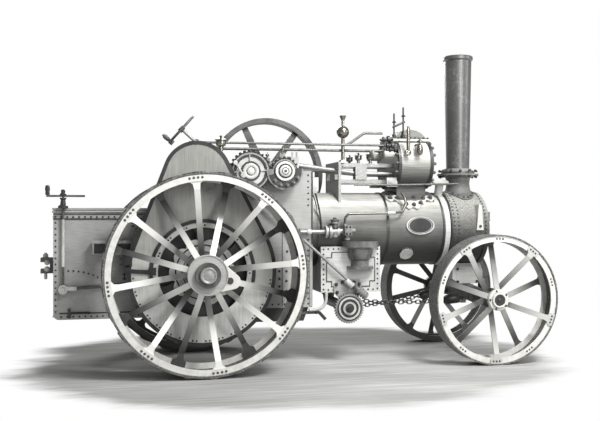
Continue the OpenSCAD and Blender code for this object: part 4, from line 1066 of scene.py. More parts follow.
tender_places = np.vstack([
    row(at(-1480, TENDER_Y - 8, 604), at(-245, TENDER_Y - 8, 604), 21),
    row(at(-1537, TENDER_Y - 8, 660), at(-1537, TENDER_Y - 8, 1600), 16),
    row(at(-1540, TENDER_Y - 2, 1662), at(-500, TENDER_Y - 2, 1662), 18),
    at(curve[:, 0] * 1000, TENDER_Y - 1, curve[:, 1] * 1000),
])
tender_rivets = both_sides(many(small_rivet, tender_places, NEAR))
rear_places = np.vstack([row(at(-1563, -430, z), at(-1563, 430, z), 15) for z in (604, 1662)])
rear_rivets = many(small_rivet, rear_places, BEHIND)
black_iron("tender_rivets", joined(tender_rivets, rear_rivets))
print("tender rivets", len(tender_places) * 2 + len(rear_places))

# %% [markdown]
# The tool ledge on the tender's side has a light lid with a bead, over a dark front. The hitch
# behind is a forged jaw. Its pin has a nut above and a round end below.
# %% Tool ledge and hitch
lid = joined(
    strip(at([-1165, -950, -738], TENDER_Y - 97, 1396), 0.006, 0.030),
    upright_strip(-1150, TENDER_Y - 96, 1268, 1384, 0.004, 0.016),
    upright_strip(-752, TENDER_Y - 96, 1268, 1384, 0.004, 0.016),
)
piece("ledge_lid", lid, "root", horn_paint)
ledge_front = strip(at([-1142, -950, -760], TENDER_Y - 95, 1326), 0.003, 0.100)
black_iron("ledge_front", ledge_front)
jaw = joined(
    many(nut(0.062, 0.04), at(-1670, 0, 1211), ABOVE),
    many(turned([(0, 0), (0.018, 0), (0.018, 0.06), (0.012, 0.068), (0, 0.07)], 16),
        at(-1670, 0, 1039), BELOW),
    many(nut(0.05, 0.03), at(-1650, [-81, -81], [1160, 1090]), NEAR),
)
pale_casting("hitch_nuts", jaw)
print("tender is dressed, pieces", len(made))

# %% [markdown]
# The hand brake's crank turns a screw in the column. Its grip is a loose turned handle, the foot
# of the column ends in an eye, and a fork takes the pull rod from there to the brake.
# %% Hand brake
COLUMN_X, COLUMN_Y = -1460, TENDER_Y - 26
grip = lathe([(0, 0), (0.020, 0), (0.024, 0.015), (0.021, 0.03), (0.026, 0.06), (0.022, 0.095),
    (0.012, 0.102), (0, 0.104)],
    -1618, COLUMN_Y, 1893, ABOVE, 16)
nut_top = lathe([(0, 0), (0.034, 0), (0.034, 0.012), (0.022, 0.02), (0.022, 0.05), (0.014, 0.058),
    (0, 0.06)],
    COLUMN_X, COLUMN_Y, 1893, ABOVE, 16)
collar = lathe([(0, 0), (0.052, 0), (0.052, 0.02), (0.030, 0.034), (0.024, 0.085), (0.034, 0.095),
    (0.034, 0.108), (0, 0.108)],
    COLUMN_X, COLUMN_Y, 1757, ABOVE, 20)
black_iron("brake_crank_parts", joined(grip, nut_top, collar))
eye = joined(
    lathe([(0, 0.0), (0.050, 0.0), (0.050, 0.010), (0.034, 0.012), (0.034, 0.004), (0, 0.004)],
        COLUMN_X, TENDER_Y - 40, 895, NEAR, 28),
    strip(at([-1436, -1320], TENDER_Y - 41, 905), 0.014, 0.040),
)
pale_casting("brake_eye", eye)
lower_rod = tube(at([-1400, -1300, -1185], TENDER_Y - 14, [640, 641, 640]), 0.011)
lever = strip(at([-1398, -1396], TENDER_Y - 12, [690, 590]), 0.012, 0.03)
black_iron("brake_levers", joined(lower_rod, lever))
sleeve = disc(0.016, 0.50, COLUMN_X, COLUMN_Y, 1135, ABOVE, 14)
pale_casting("brake_sleeve", sleeve)
print("brake is dressed")

# %% [markdown]
# The gear cover is a flat plate with an angle riveted round its edge. The angle is drawn as a
# dark band along the same pear outline, and rivets go in pairs just inside it. The opening round
# the axle has a ring over its upper half, riveted in pairs too, with a rope guard outside it.
# Behind the opening a dark plate fills the gear case as painted shade.
# %% Gear cover
COVER = -636
LOW_R = 0.800
TOP_R = 0.370
TOP_X = -0.060
rise = 2.110 - REAR_R
lean = math.degrees(math.atan2(rise, TOP_X))
reach = math.hypot(rise, TOP_X)


def cover_outline(inset):
    """The cover's pear outline, drawn in by the inset."""
    return spun(pear(LOW_R - inset, TOP_R - inset, reach, 32), lean) + [0, REAR_R]


edge_band = on_side(band(cover_outline(0.0), cover_outline(0.040), 0.006), COVER)
black_iron("cover_edge", edge_band)
pairs = np.concatenate([[a - 1.6, a + 1.6] for a in np.arange(186, 362, 11.0)])
cover_places = round_places(742, pairs, 0, COVER, AXLE_Z)
black_iron("cover_rivets", many(small_rivet, cover_places, NEAR))


def arc_bar(radius, start, end, wide, proud):
    """Flat bar bent round the axle on the cover's face: it is wide along the radius."""
    path = round_places(1000 * radius, np.linspace(start, end, 60), 0, COVER, AXLE_Z)
    return flat_bar(path, wide, proud)


piece("opening_ring", arc_bar(0.507, -8, 188, 0.044, 0.006), "root", wheel_paint)
rope_guard = arc_bar(0.553, -12, 192, 0.036, 0.016)
black_iron("rope_guard", rope_guard)
# A dark plate as painted shade inside the gear case.
shade_plate_behind_opening = ring(0.16, 0.555, 0.010, 0, -512, AXLE_Z, 64)
black_iron("shade_plate_behind_opening", shade_plate_behind_opening)
angles = np.concatenate([[a - 1.9, a + 1.9] for a in np.arange(0, 181, 22.5)])
ring_places = round_places(507, angles, 0, COVER - 6, AXLE_Z)
black_iron("opening_rivets", many(small_rivet, ring_places, NEAR))
print("cover rivets", len(cover_places) + len(ring_places))

# %% [markdown]
# A toothed bracket for the drum's brake is bolted to the cover's rear edge. It is a bent flat bar
# with a clamp at each end, blackened by oil.
# %% Drum brake bracket
BRACKET = COVER - 1
bracket_bars = joined(
    flat_bar(at([-698, -748, -770], BRACKET, [1520, 1370, 1240]), 0.030, 0.015),
    flat_bar(at([-800, -798], BRACKET, [1250, 1136]), 0.100, 0.015),
    flat_bar(at([-800, -780, -560], BRACKET, [1150, 1090, 1074]), 0.044, 0.015),
    flat_bar(at([-574, -500], BRACKET, [1084, 1084]), 0.078, 0.016),
)
teeth = joined(*[
    flat_bar(at([x, x + 34], BRACKET, [z, z + 6]), 0.022, 0.014) for x, z in (
        (-758, 1560), (-722, 1538), (-852, 1052), (-852, 1010), (-880, 1220), (-880, 1160))
])
spine = flat_bar(at([-822, -822], BRACKET, [1000, 1140]), 0.030, 0.014)
black_iron("drum_brake_bracket", joined(bracket_bars, teeth, spine))
print("drum brake bracket is on")

# %% [markdown]
# Behind the opening runs the winding drum, whose scalloped flange is bright from the rope. The
# deep gap round it is in shade. A boss on the cover carries the third shaft's end.
# %% Drum and boss
drum_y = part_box("winding_drum")[0].y * 1000
drum_ring = joined(
    ring(0.285, 0.300, 0.006, 0, drum_y, AXLE_Z, 64),
    ring(0.215, 0.225, 0.008, 0, drum_y, AXLE_Z, 64),
)
black_iron("drum_rings", drum_ring)
boss = joined(
    lathe([(0, 0), (0.070, 0), (0.070, 0.010), (0.062, 0.016), (0, 0.016)],
        60, -644, 1990, NEAR, 40),
    ring(0.030, 0.046, 0.006, 60, -660, 1990, 32),
)
piece("cover_boss", boss, "root", cast_iron)
print("drum and boss are on")

# %% [markdown]
# Second gear and crank pinion: a lathe leaves rings on a gear's face, and thin webs stiffen its
# rim. The crank's end is a nest of turned collars.
# %% Gear faces
gear_face = joined(
    ring(0.112, 0.158, 0.004, GEAR_X, -592, GEAR_Z, 48),
    lathe([(0.050, 0), (0.088, 0), (0.088, 0.014), (0.080, 0.020), (0.062, 0.020), (0.050, 0.014),
        (0.050, 0)],
        GEAR_X, -598, GEAR_Z, NEAR, 40),
)
pale_casting("gear_rings", gear_face)
gear_dark = joined(
    ring(0.160, 0.186, 0.006, GEAR_X, -598, GEAR_Z, 48),
    ring(0.088, 0.108, 0.010, GEAR_X, -598, GEAR_Z, 48),
)
black_iron("gear_grooves", gear_dark)
web_angles = np.arange(4, 360, 90.0)
inner = round_places(110, web_angles, GEAR_X, -600, GEAR_Z)
outer = round_places(186, web_angles, GEAR_X, -600, GEAR_Z)
webs = [swept([a, b], 0.004 * np.array([(-1, -3), (1, -3), (1, 3), (-1, 3)]), NEAR)
    for a, b in zip(inner, outer)]
pale_casting("gear_webs", joined(*webs))
shaft_end = lathe([(0, 0), (0.040, 0), (0.040, 0.014), (0.030, 0.020), (0, 0.020)],
    GEAR_X, -610, GEAR_Z, NEAR, 28)
crank_rings = joined(
    ring(0.082, 0.108, 0.008, CRANK_X, -623, CRANK_Z, 40),
    lathe([(0, 0), (0.064, 0), (0.064, 0.016), (0.056, 0.022), (0, 0.022)],
        CRANK_X, -623, CRANK_Z, NEAR, 40),
)
piece("shaft_ends", joined(shaft_end, crank_rings), "root", wheel_paint)
crank_dark = joined(
    ring(0.062, 0.082, 0.005, CRANK_X, -623, CRANK_Z, 40),
    ring(0.108, 0.118, 0.004, CRANK_X, -623, CRANK_Z, 40),
    ring(0.034, 0.042, 0.003, CRANK_X, -644, CRANK_Z, 24),
    disc(0.014, 0.004, CRANK_X, -645, CRANK_Z, NEAR, 24),
)
black_iron("crank_grooves", crank_dark)
shift = joined(
    tube(at([351, 395, 439], -622, [2250, 2182, 2117]), 0.011),
    lathe([(0, 0), (0.024, 0), (0.024, 0.03), (0, 0.034)], 351, -612, 2250, NEAR, 20),
    lathe([(0, 0), (0.030, 0), (0.030, 0.03), (0, 0.034)], 439, -612, 2117, NEAR, 20),
)
pale_casting("gear_shift", shift)
guard_path = round_places(155, np.linspace(-165, 12, 40), CRANK_X, -614, CRANK_Z)
guard = flat_bar(guard_path, 0.062, 0.004)
black_iron("crank_guard", guard)
guard_bolts = round_places(160, [-28, -55, -82, -109, -136], CRANK_X, -617, CRANK_Z)
stays = at([1020, 1070, 1045], -470, [2205, 2160, 2110])
piece("guard_bolts", many(bolt, guard_bolts, NEAR), "root", enamel)
piece("bearing_bolts", many(bolt, stays, NEAR), "root", light_casting)
print("gear faces are dressed")

# %% [markdown]
# Bearings are fed from small lidded oil cups. The same turned cup stands on the gear cover, on
# the crankshaft's bearing and on the slide bars, each time at its own size.


# %% Oil cups
def oil_cup(x, y, z, size):
    """Cup with a neck, a belly, a flange and a knob on its lid, in all 2.4 sizes high."""
    shape = [(0, 0), (0.34, 0), (0.3, 0.35), (0.3, 0.7), (0.72, 0.85), (0.8, 1.3), (0.72, 1.6),
        (0.9, 1.66), (0.9, 1.8), (0.4, 1.95), (0.16, 2.1), (0.22, 2.25), (0.14, 2.4), (0, 2.4)]
    return lathe(size * np.array(shape), x, y, z, ABOVE, 16)


cups = joined(
    oil_cup(196, -600, 2372, 0.072),
    oil_cup(CRANK_X, -470, 2370, 0.030),
    oil_cup(1870, -190, 2283, 0.052),
    oil_cup(2015, -190, 2283, 0.060),
    mirrored(oil_cup(CRANK_X, -470, 2370, 0.030)),
    mirrored(oil_cup(1870, -190, 2283, 0.052)),
)
piece("oil_cups", cups, "root", brass)
tops = lathe([(0, 0), (0.034, 0), (0.034, 0.020), (0.022, 0.024), (0.022, 0.05), (0, 0.052)],
    1045, -470, 2180, ABOVE, 20)
strap = joined(
    strip(at([1002, 1088], -458, 2262), 0.026, 0.13),
    disc(0.012, 0.06, 1020, -470, 2325, ABOVE, 12),
    disc(0.012, 0.06, 1068, -470, 2325, ABOVE, 12),
)
pale_casting("bearing_strap", joined(tops, strap))
print("oil cups are on")

# %% [markdown]
# The steering wheel is turned by a handle that stands on its rim: a pear-shaped grip on a round
# boss, both on the slope of the steering column.
# %% Steering wheel's handle
SLOPE = (-0.763, 0, 0.646)
handle = joined(
    lathe([(0, -0.030), (0.028, -0.030), (0.030, 0.014), (0.018, 0.020), (0, 0.020)],
        -333, -505, 2474, SLOPE, 20),
    lathe([(0, 0.020), (0.018, 0.020), (0.022, 0.034), (0.026, 0.072), (0.022, 0.098), (0, 0.108)],
        -333, -505, 2474, SLOPE, 20),
)
piece("wheel_handle", handle, "root", forged_iron)
print("steering wheel has its handle")

# %% [markdown]
# Each side plate is riveted along its front edge to the firebox, and carries small brackets for
# the oil pipes. A bowed strap joins it to the lagging.
# %% Side plates
HORN = -445
horn_places = np.vstack([
    row(at(1206, HORN, 2128), at(1206, HORN, 1790), 6),
    row(at(1206, HORN, 1400), at(1206, HORN, 680), 13),
    row(at(180, HORN, 680), at(1140, HORN, 680), 15),
])
black_iron("horn_rivets", both_sides(many(small_rivet, horn_places, NEAR)))
stay_places = np.vstack([
    row(at(875, HORN, 880), at(875, HORN, 1052), 3),
    row(at(956, HORN, 831), at(956, HORN, 1051), 3),
    row(at(1076, HORN, 831), at(1076, HORN, 1051), 3),
    row(at(964, HORN, 1272), at(1060, HORN, 1272), 2),
])
black_iron("stay_bolts", both_sides(many(big_rivet, stay_places, NEAR)))
seam = upright_strip(907, HORN, 655, 1700, 0.003, 0.007)
black_iron("horn_seam", both_sides(seam))
corner_strip = upright_strip(1236, HORN, 650, 1340, 0.008, 0.030)
edge_strip = upright_strip(1250, HORN, 1350, 2175, 0.006, 0.014)
piece("firebox_corner", both_sides(corner_strip), "root", horn_paint)
black_iron("horn_edge", both_sides(edge_strip))
bracket = on_side(
    plate([(1.256, 2.105), (1.322, 2.105), (1.322, 1.955), (1.300, 1.925), (1.256, 1.925)], 0.030),
    -430,
)
t = np.linspace(0, 1, 14)
bowed = tube(at(1290 + 72 * np.sin(t * np.pi / 2), -437, 1930 - 440 * t), 0.010)
pale_casting("plate_brackets", both_sides(bracket))
black_iron("bowed_strap", both_sides(bowed))
print("side plates are dressed, pieces", len(made))

# %% [markdown]
# The boiler's lagging is held by iron bands, drawn tight with a bolt below. The smokebox is not
# lagged. Its wrapper is riveted to an angle at each end, so rows of rivets go right round it. On
# such a round plate a rivet's place and its direction both follow from one angle. An eight-sided
# plate low on the barrel closes a mud hole.


# %% Things that go round the boiler
def round_boiler(radius, x):
    """Places each 6 degrees round the boiler's axis, and the directions out: (-sin a, cos a)."""
    a = np.radians(np.arange(0, 360, 6))
    across, up = -1000 * radius * np.sin(a), BOILER_Z + 1000 * radius * np.cos(a)
    return at(x, across, up), np.column_stack([0 * a, -np.sin(a), np.cos(a)])


def hoop(radius, x, wide, thick):
    """Closed band round the boiler, as wide as given and lying on the radius."""
    half = wide / 2
    inner, outer = radius - 0.004, radius + thick
    profile = [(inner, -half), (outer, -half), (outer, half), (inner, half), (inner, -half)]
    points, quads = turned(profile, 96)
    return points[:, [2, 0, 1]] + at(x, 0, BOILER_Z), quads


LAGGING_R = 0.435
bands = joined(
    hoop(LAGGING_R, 1324, 0.012, 0.004),
    hoop(LAGGING_R, 2163, 0.026, 0.004),
    hoop(LAGGING_R, 2846, 0.020, 0.004),
    hoop(0.448, 2944, 0.020, 0.003),
)
black_iron("boiler_bands", bands)
light_band = hoop(LAGGING_R, 2896, 0.060, 0.003)
piece("light_band", light_band, "root", tank_paint)
rows_of_rivets = []
for x, radius in ((2972, 0.449), (3030, 0.441), (3372, 0.449)):
    rows_of_rivets.append(many(small_rivet, *round_boiler(radius - 0.001, x)))
black_iron("smokebox_rivets", joined(*rows_of_rivets))
mud_plate = disc(0.084, 0.004, 2410, -343.5, 1221.8, (0, -0.766, -0.643), 8)
pale_casting("mud_hole_plate", mud_plate)
print("rows of rivets round the smokebox", len(rows_of_rivets))

# %% [markdown]
# On each side of the barrel sits an oval casting with a raised rim and a plain field. It is
# screwed flat to the lagging at the height where the barrel's side is upright.
# %% Oval plate
a = np.linspace(0, 2 * np.pi, 64, endpoint=False)
oval = np.column_stack([0.172 * np.cos(a), 0.104 * np.sin(a)]) + [2.548, 1.556]


def shrunk(outline, by):
    """An outline scaled about its middle by that factor."""
    middle_point = outline.mean(0)
    return middle_point + (outline - middle_point) * by


oval_field = on_side(plate(shrunk(oval, 0.93), 0.016, 0.002), -424)
oval_rim = on_side(band(oval, shrunk(oval, 0.90), 0.022), -424)
oval_line = on_side(band(shrunk(oval, 0.84), shrunk(oval, 0.80), 0.019), -424)
piece("oval_field", both_sides(oval_field), "root", dark_metal)
pale_casting("oval_rim", both_sides(joined(oval_rim, oval_line)))
print("oval plates are on")

# %% [markdown]
# The cylinder block stands on the barrel by a broad saddle flange. Its lower edge is cut in
# waves, so that each stud gets its own lug. The sheet is bent to the barrel: every point lies at
# one radius, at an angle given by its height, and the height of the edge is a wave along x.
# %% Saddle flange
SADDLE_R = 0.452
AXIS_Z = BOILER_Z / 1000
along_x = np.linspace(2.185, 2.785, 61)
u = (along_x - 2.485) / 0.300
low_edge = 1.852 - 0.090 / (1 + (u / 0.42) ** 6) + 0.012 * np.cos(u * 6 * np.pi)
high_edge = 1.905 + 0 * u
low_angle = np.arccos((low_edge - AXIS_Z) / SADDLE_R)
high_angle = np.arccos((high_edge - AXIS_Z) / SADDLE_R)


def on_barrel(angle, radius):
    """Points at an angle from the top towards the near side, at each station along the block."""
    place = np.column_stack([along_x, -radius * np.sin(angle), AXIS_Z + radius * np.cos(angle)])
    return place + [REAR_AXLE[0], 0, 0]


edges = [(high_angle, 0.432), (high_angle, SADDLE_R + 0.004), (low_angle, SADDLE_R + 0.004),
    (low_angle, 0.432)]
flange_rows = np.stack([on_barrel(angle, radius) for angle, radius in edges], 1)
flange = grid(ended(flange_rows))
piece("saddle_flange", both_sides(flange), "root", wheel_paint)
stud_x = np.array([2232, 2324, 2534, 2646, 2740, 2408, 2500, 2592])
stud_z = np.array([1880, 1878, 1882, 1878, 1886, 1806, 1800, 1822])
STUD_R = 456
stud_angle = np.arccos((stud_z - BOILER_Z) / STUD_R)
stud_places = at(stud_x, -STUD_R * np.sin(stud_angle), stud_z)
stud_out = np.column_stack([0 * stud_angle, -np.sin(stud_angle), np.cos(stud_angle)])
studs = many(nut(0.046, 0.024), stud_places, stud_out)
piece("saddle_nuts", both_sides(studs), "root", forged_iron)
print("saddle studs", 2 * len(stud_x))

# %% [markdown]
# The block's two ends are closed by cast covers with a ring of nuts, and the lagging sheet lies
# between them. The covers follow the outline of the two cylinders side by side: two half circles
# joined by straight lines.


# %% Cylinder covers
BLOCK_Z = 2280


def stadium(radius, half_gap, sides=40):
    """Outline of two circles side by side: a half circle at each end of a straight gap."""
    a = np.linspace(-np.pi / 2, np.pi / 2, sides)
    right = np.column_stack([half_gap + radius * np.cos(a), radius * np.sin(a)])
    return np.vstack([right, -right])


def across_block(shape, x):
    """A shape drawn flat on the block's end, facing forward, at x."""
    points, quads = shape
    return points[:, [2, 0, 1]] + at(x, 0, BLOCK_Z), quads


cover_band = band(stadium(0.2935, 0.130), stadium(0.240, 0.130), 0.036)
covers = joined(across_block(cover_band, 2296), across_block(cover_band, 2688))
black_iron("cylinder_covers", covers)
nut_line = stadium(0.266, 0.130, 9) * 1000
behind = at(2296, nut_line[:, 0], BLOCK_Z + nut_line[:, 1])
ahead = at(2724, nut_line[:, 0], BLOCK_Z + nut_line[:, 1])
cover_nut = nut(0.044, 0.030)
cover_nuts = joined(many(cover_nut, behind, BEHIND), many(cover_nut, ahead, AHEAD))
piece("cover_nuts", cover_nuts, "root", forged_iron)
edge = strip(at([2278, 2500, 2742], -239, 2566), 0.010, 0.026)
piece("top_flange", both_sides(edge), "root", wheel_paint)
# A dark strip under the top flange is a painted shadow.
flange_shadow = strip(at([2278, 2500, 2742], -239, 2541), 0.012, 0.020)
black_iron("flange_shadow_strip", both_sides(flange_shadow))
side_nuts = row(at(2300, -222, 2578), at(2720, -222, 2578), 9)
end_nuts = row(at(2726, -190, 2578), at(2726, 190, 2578), 5)
top_places = np.vstack([side_nuts, end_nuts])
black_iron("top_nuts", both_sides(many(nut(0.030, 0.018), top_places, ABOVE)))
print("cylinder nuts", 2 * len(nut_line) + 2 * len(top_places))

# %% [markdown]
# A safety valve is held down by a lever, whose far end hangs on a spring balance: a brass tube
# with the spring inside. Beside it a sight lubricator drips oil into the steam.
# %% Balance and lubricator
balance = joined(
    lathe([(0, 0), (0.026, 0), (0.030, 0.012), (0.022, 0.03), (0.022, 0.27), (0.014, 0.285),
        (0.014, 0.31), (0, 0.312)],
        2395, -452, 2395, ABOVE, 20),
    lathe([(0, 0), (0.034, 0), (0.034, 0.024), (0, 0.03)], 2395, -444, 2400, NEAR, 20),
)
lubricator = lathe([(0, 0), (0.020, 0.004), (0.038, 0.03), (0.042, 0.08), (0.030, 0.115),
    (0.014, 0.125), (0.014, 0.15), (0.034, 0.155), (0.034, 0.17), (0.012, 0.178), (0.012, 0.21),
    (0, 0.212)],
    2535, -452, 2370, ABOVE, 20)
held = joined(
    tube(at([2535, 2535], [-300, -455], [2500, 2500]), 0.012),
    tube(at([2395, 2395], [-300, -455], [2420, 2420]), 0.012),
)
piece("spring_balance", balance, "root", brass)
piece("lubricator", lubricator, "root", brass)
black_iron("cock_stems", held)
print("balance and lubricator are on")

# %% [markdown]
# Behind the block sit the valve chests' caps and the stop valve's glands. The regulator rod rises
# in a bend to reach the valve on the top.
# %% Valve chest caps and glands
chest_cap = joined(
    lathe([(0, -0.016), (0.034, -0.014), (0.050, 0), (0.050, 0.018), (0, 0.018)],
        2000, -300, 2388, AHEAD, 28),
    ring(0.044, 0.048, 0.014, 2140, -300, 2388, 28, AHEAD),
)
piece("valve_chest_caps", both_sides(chest_cap), "root", cast_iron)
gland = [(0, 0), (0.014, 0), (0.014, 0.03), (0.034, 0.034), (0.034, 0.05), (0.020, 0.06),
    (0.020, 0.085), (0.040, 0.09), (0.040, 0.12), (0.024, 0.13), (0.024, 0.16), (0, 0.16)]
glands = joined(
    lathe(gland, 2140, -310, 2490, AHEAD, 18),
    lathe(gland, 2140, -215, 2430, AHEAD, 18),
    lathe(gland, 2120, -240, 2560, (1, 0, 0.1), 18),
    lathe(gland, 2170, -330, 2440, (1, 0.1, 0), 18),
)
black_iron("valve_glands", glands)
rise = bent(at([1700, 1765, 1905, 2130], -300, [2490, 2530, 2630, 2632]), 0.03)
piece("regulator_rod", tube(rise, 0.015), "root", rod_steel)
foot_block = joined(
    strip(at([2172, 2300], -292, 2062), 0.050, 0.104),
    lathe([(0, 0), (0.032, 0), (0.032, 0.012), (0.014, 0.014), (0.014, 0.02), (0, 0.02)],
        2222, -341, 2062, NEAR, 24),
)
pale_casting("foot_blocks", both_sides(foot_block))
rod = tube(at([1760, 2300, 3070], [-395, -395, -300], [2026, 2028, 2050]), 0.011)
piece("drain_rod", rod, "root", rod_steel)
LEAN_OUT = (0, -0.35, 1)
stub = joined(
    disc(0.050, 0.16, 2880, -150, 1905, LEAN_OUT, 24),
    disc(0.108, 0.018, 2880, -206, 2065, LEAN_OUT, 32),
)
pale_casting("exhaust_flange", stub)
print("valve gear is dressed, pieces", len(made))

# %% [markdown]
# A union joins the pump's pipe to the block. Copper pipe is bent cold over the knee in wide
# curves, so this replaces the faceted solid by one smooth tube on the same route.
# %% Feed pipe
PUMP_Y = -504
PIPE_Z = 1700
route = at(
    [1618, 1618, 1655, 2150, 2310, 2372, 2370, 2345],
    [PUMP_Y, PUMP_Y, PUMP_Y, PUMP_Y, -478, -440, -400, -354],
    [1580, 1640, 1692, PIPE_Z, 1712, 1800, 1880, 1940],
)
smooth = bent(route, 0.024, 6)
feed = piece("feed_pipe_bent", tube(smooth, 0.0135, 14, NEAR), "root", copper)
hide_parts("feed_pipe")
unions = joined(
    disc(0.026, 0.04, 2150, PUMP_Y, PIPE_Z, AHEAD, 6),
    disc(0.021, 0.09, 2125, PUMP_Y, PIPE_Z, AHEAD, 18),
    strip(at([2158, 2182], -440, PIPE_Z), 0.07, 0.03),
)
piece("pipe_union", unions, "root", light_casting)
print("feed pipe points", len(smooth))

# %% [markdown]
# The chimney is bolted together at a flange, and its foot is bolted to the smokebox through an
# oval flange that is dished to the smokebox's curve. On the flange a point's x and its angle round
# the smokebox each grow with the distance from the middle, so the oval drapes itself.
# %% Chimney bolts and rivets
a = np.radians(np.arange(12) * 30 + 15)
bolt_x, bolt_y = CHIMNEY_X + 224 * np.cos(a), 224 * np.sin(a)
over = at(bolt_x, bolt_y, 2202)
under = at(bolt_x, bolt_y, 2157)
flange_nut = nut(0.034, 0.022)
bolts = joined(many(flange_nut, over, ABOVE), many(flange_nut, under, BELOW))
black_iron("chimney_bolts", bolts)
neck = ring(0.139, 0.166, 0.036, CHIMNEY_X, 0, 2206, 48, ABOVE)
piece("chimney_collar", neck, "root", cast_iron)
FOOT_LONG = 172
FOOT_TURN = 0.67


def draped(share, a, radius):
    """Places at a share of the oval's size, in direction a, on that radius, and the way out."""
    turn = FOOT_TURN * share * np.sin(a)
    out = np.stack([0 * turn, np.sin(turn), np.cos(turn)], -1)
    return at(CHIMNEY_X + FOOT_LONG * share * np.cos(a), 0, BOILER_Z) + radius * out, out


a = np.radians(np.arange(48) * 7.5)
layers = [draped(share, a, radius)[0]
    for share, radius in ((0, 0.450), (1, 0.446), (1, 0.454), (0.97, 0.457), (0, 0.457))]
piece("chimney_foot", grid(np.array(layers)), "root", ash_grey)
a = np.radians(np.arange(16) * 22.5 + 11.25)
foot_places, foot_out = draped(0.88, a, 0.457)
black_iron("chimney_rivets", many(big_rivet, foot_places, foot_out))
print("chimney bolts", len(over) + len(under), "foot bolts", len(foot_places))

# %% [markdown]
# A tapered bracket on each side of the smokebox is for a road lamp. The lamp is taken off by day,
# and only the bolt that held it stays, through a dark washer.
# %% Lamp bolts
holder = lathe([(0, 0), (0.016, 0), (0.016, 0.012), (0, 0.014)], 3288, -461, 1545, NEAR, 16)
black_iron("lamp_bolts", both_sides(holder))
print("lamp bolts are on")

# %% [markdown]
# The feed pump is worked from the crankshaft. Glands, collars and a square valve box are turned
# and cast parts bolted together, so its outline steps in and out.
# %% Feed pump's collars and valve box
PUMP_Z = 1490
collars = joined(
    lathe([(0, 0), (0.034, 0), (0.034, 0.04), (0.028, 0.046), (0, 0.046)],
        1180, PUMP_Y, PUMP_Z, AHEAD, 20),
    disc(0.070, 0.012, 1388, PUMP_Y, PUMP_Z, AHEAD, 28),
    disc(0.070, 0.012, 1444, PUMP_Y, PUMP_Z, AHEAD, 28),
    lathe([(0, 0), (0.044, 0), (0.044, 0.03), (0.030, 0.036), (0, 0.036)],
        1520, PUMP_Y, PUMP_Z, AHEAD, 24),
)
pale_casting("pump_collars", collars)
pot = lathe([(0, 0), (0.040, 0), (0.046, 0.02), (0.040, 0.03), (0.034, 0.08), (0.050, 0.09),
    (0.050, 0.108), (0.020, 0.116), (0.020, 0.13), (0, 0.132)],
    1500, PUMP_Y, PUMP_Z + 30, ABOVE, 24)
box = joined(
    swept([at(1640, PUMP_Y - 30, 1452), at(1640, PUMP_Y - 30, 1560)],
        [(-0.04, -0.05), (0.04, -0.05), (0.04, 0.05), (-0.04, 0.05)], NEAR),
    lathe([(0, 0), (0.026, 0), (0.026, 0.05), (0.018, 0.056), (0, 0.056)],
        1680, PUMP_Y - 20, 1500, AHEAD, 20),
    lathe([(0, 0), (0.030, 0), (0.030, 0.02), (0.018, 0.03), (0.018, 0.06), (0, 0.062)],
        1640, PUMP_Y - 30, 1398, ABOVE, 20),
)
piece("pump_pot", pot, "root", forged_iron)
piece("pump_valve_box", box, "root", cast_iron)
pump_bolts = at([1620, 1660, 1620, 1660], PUMP_Y - 81, [1470, 1470, 1545, 1545])
black_iron("pump_bolts", many(nut(0.022, 0.014), pump_bolts, NEAR))
print("pump is dressed")

# %% [markdown]
# The water tank under the barrel is framed by an angle with rivets, and its cover plate has
# notched corners. The plate's edge is drawn as a thin dark line, where paint has chipped.
# %% Tank rivets and outline
TANK_Y = -447
tank_places = np.vstack([
    row(at(1384, TANK_Y, 836), at(1384, TANK_Y, 1290), 9),
    row(at(2023, TANK_Y, 836), at(2023, TANK_Y, 1290), 9),
    row(at(1440, TANK_Y, 828), at(1970, TANK_Y, 828), 10),
    row(at(1440, TANK_Y, 1294), at(1560, TANK_Y, 1294), 3),
])
black_iron("tank_rivets", both_sides(many(small_rivet, tank_places, NEAR)))
low, high = 0.860, 1.260
back, front = 1.414, 1.993
cut = 0.060
notched = np.array([
    (back + cut, low), (front - cut, low), (front - cut, low + cut), (front, low + cut),
    (front, high - cut), (front - cut, high - cut), (front - cut, high), (back + cut, high),
    (back + cut, high - cut), (back, high - cut), (back, low + cut), (back + cut, low + cut),
])
middle_of_plate = np.array([(back + front) / 2, (low + high) / 2])
inset_notched = notched + 0.010 * np.sign(middle_of_plate - notched)
outline = on_side(band(notched, inset_notched, 0.003), TANK_Y - 3)
black_iron("tank_outline", both_sides(outline))
print("tank rivets", 2 * len(tank_places))

# %% [markdown]
# Steering goes by a worm on the inclined shaft, a worm wheel on the roller's end, and chains from
# the roller to the axle. Light machined rings show on the worm wheel's face.
# %% Worm wheel and brackets
WORM_FACE = -531
wheel_face = joined(
    ring(0.106, 0.126, 0.005, ROLLER_X, WORM_FACE, ROLLER_Z, 44),
    ring(0.052, 0.076, 0.010, ROLLER_X, WORM_FACE, ROLLER_Z, 36),
)
piece("worm_wheel_rings", wheel_face, "steering_roller", light_casting)
end_dome = [(0, 0), (0.034, 0), (0.034, 0.008), (0, 0.012)]
wheel_end = lathe(end_dome, ROLLER_X, -565, ROLLER_Z, NEAR, 24)
wheel_dark = joined(*[
    ring(inner, inner + wide, 0.004, ROLLER_X, WORM_FACE, ROLLER_Z, 40)
    for inner, wide in ((0.040, 0.008), (0.080, 0.022), (0.130, 0.012))
])
piece("worm_wheel_dark", joined(wheel_end, wheel_dark), "steering_roller",
    dark_metal)
bracket_plate = on_side(
    plate([(1.500, 0.905), (1.560, 0.945), (1.800, 0.945), (1.830, 0.905), (1.830, 0.780),
        (1.720, 0.690), (1.600, 0.690), (1.500, 0.800)], 0.012, 0.003), -447)
piece("roller_plate", both_sides(bracket_plate), "root", plate_paint)
plate_bolts = at([1530, 1600, 1740, 1800, 1540, 1790], -460, [890, 915, 915, 890, 800, 800])
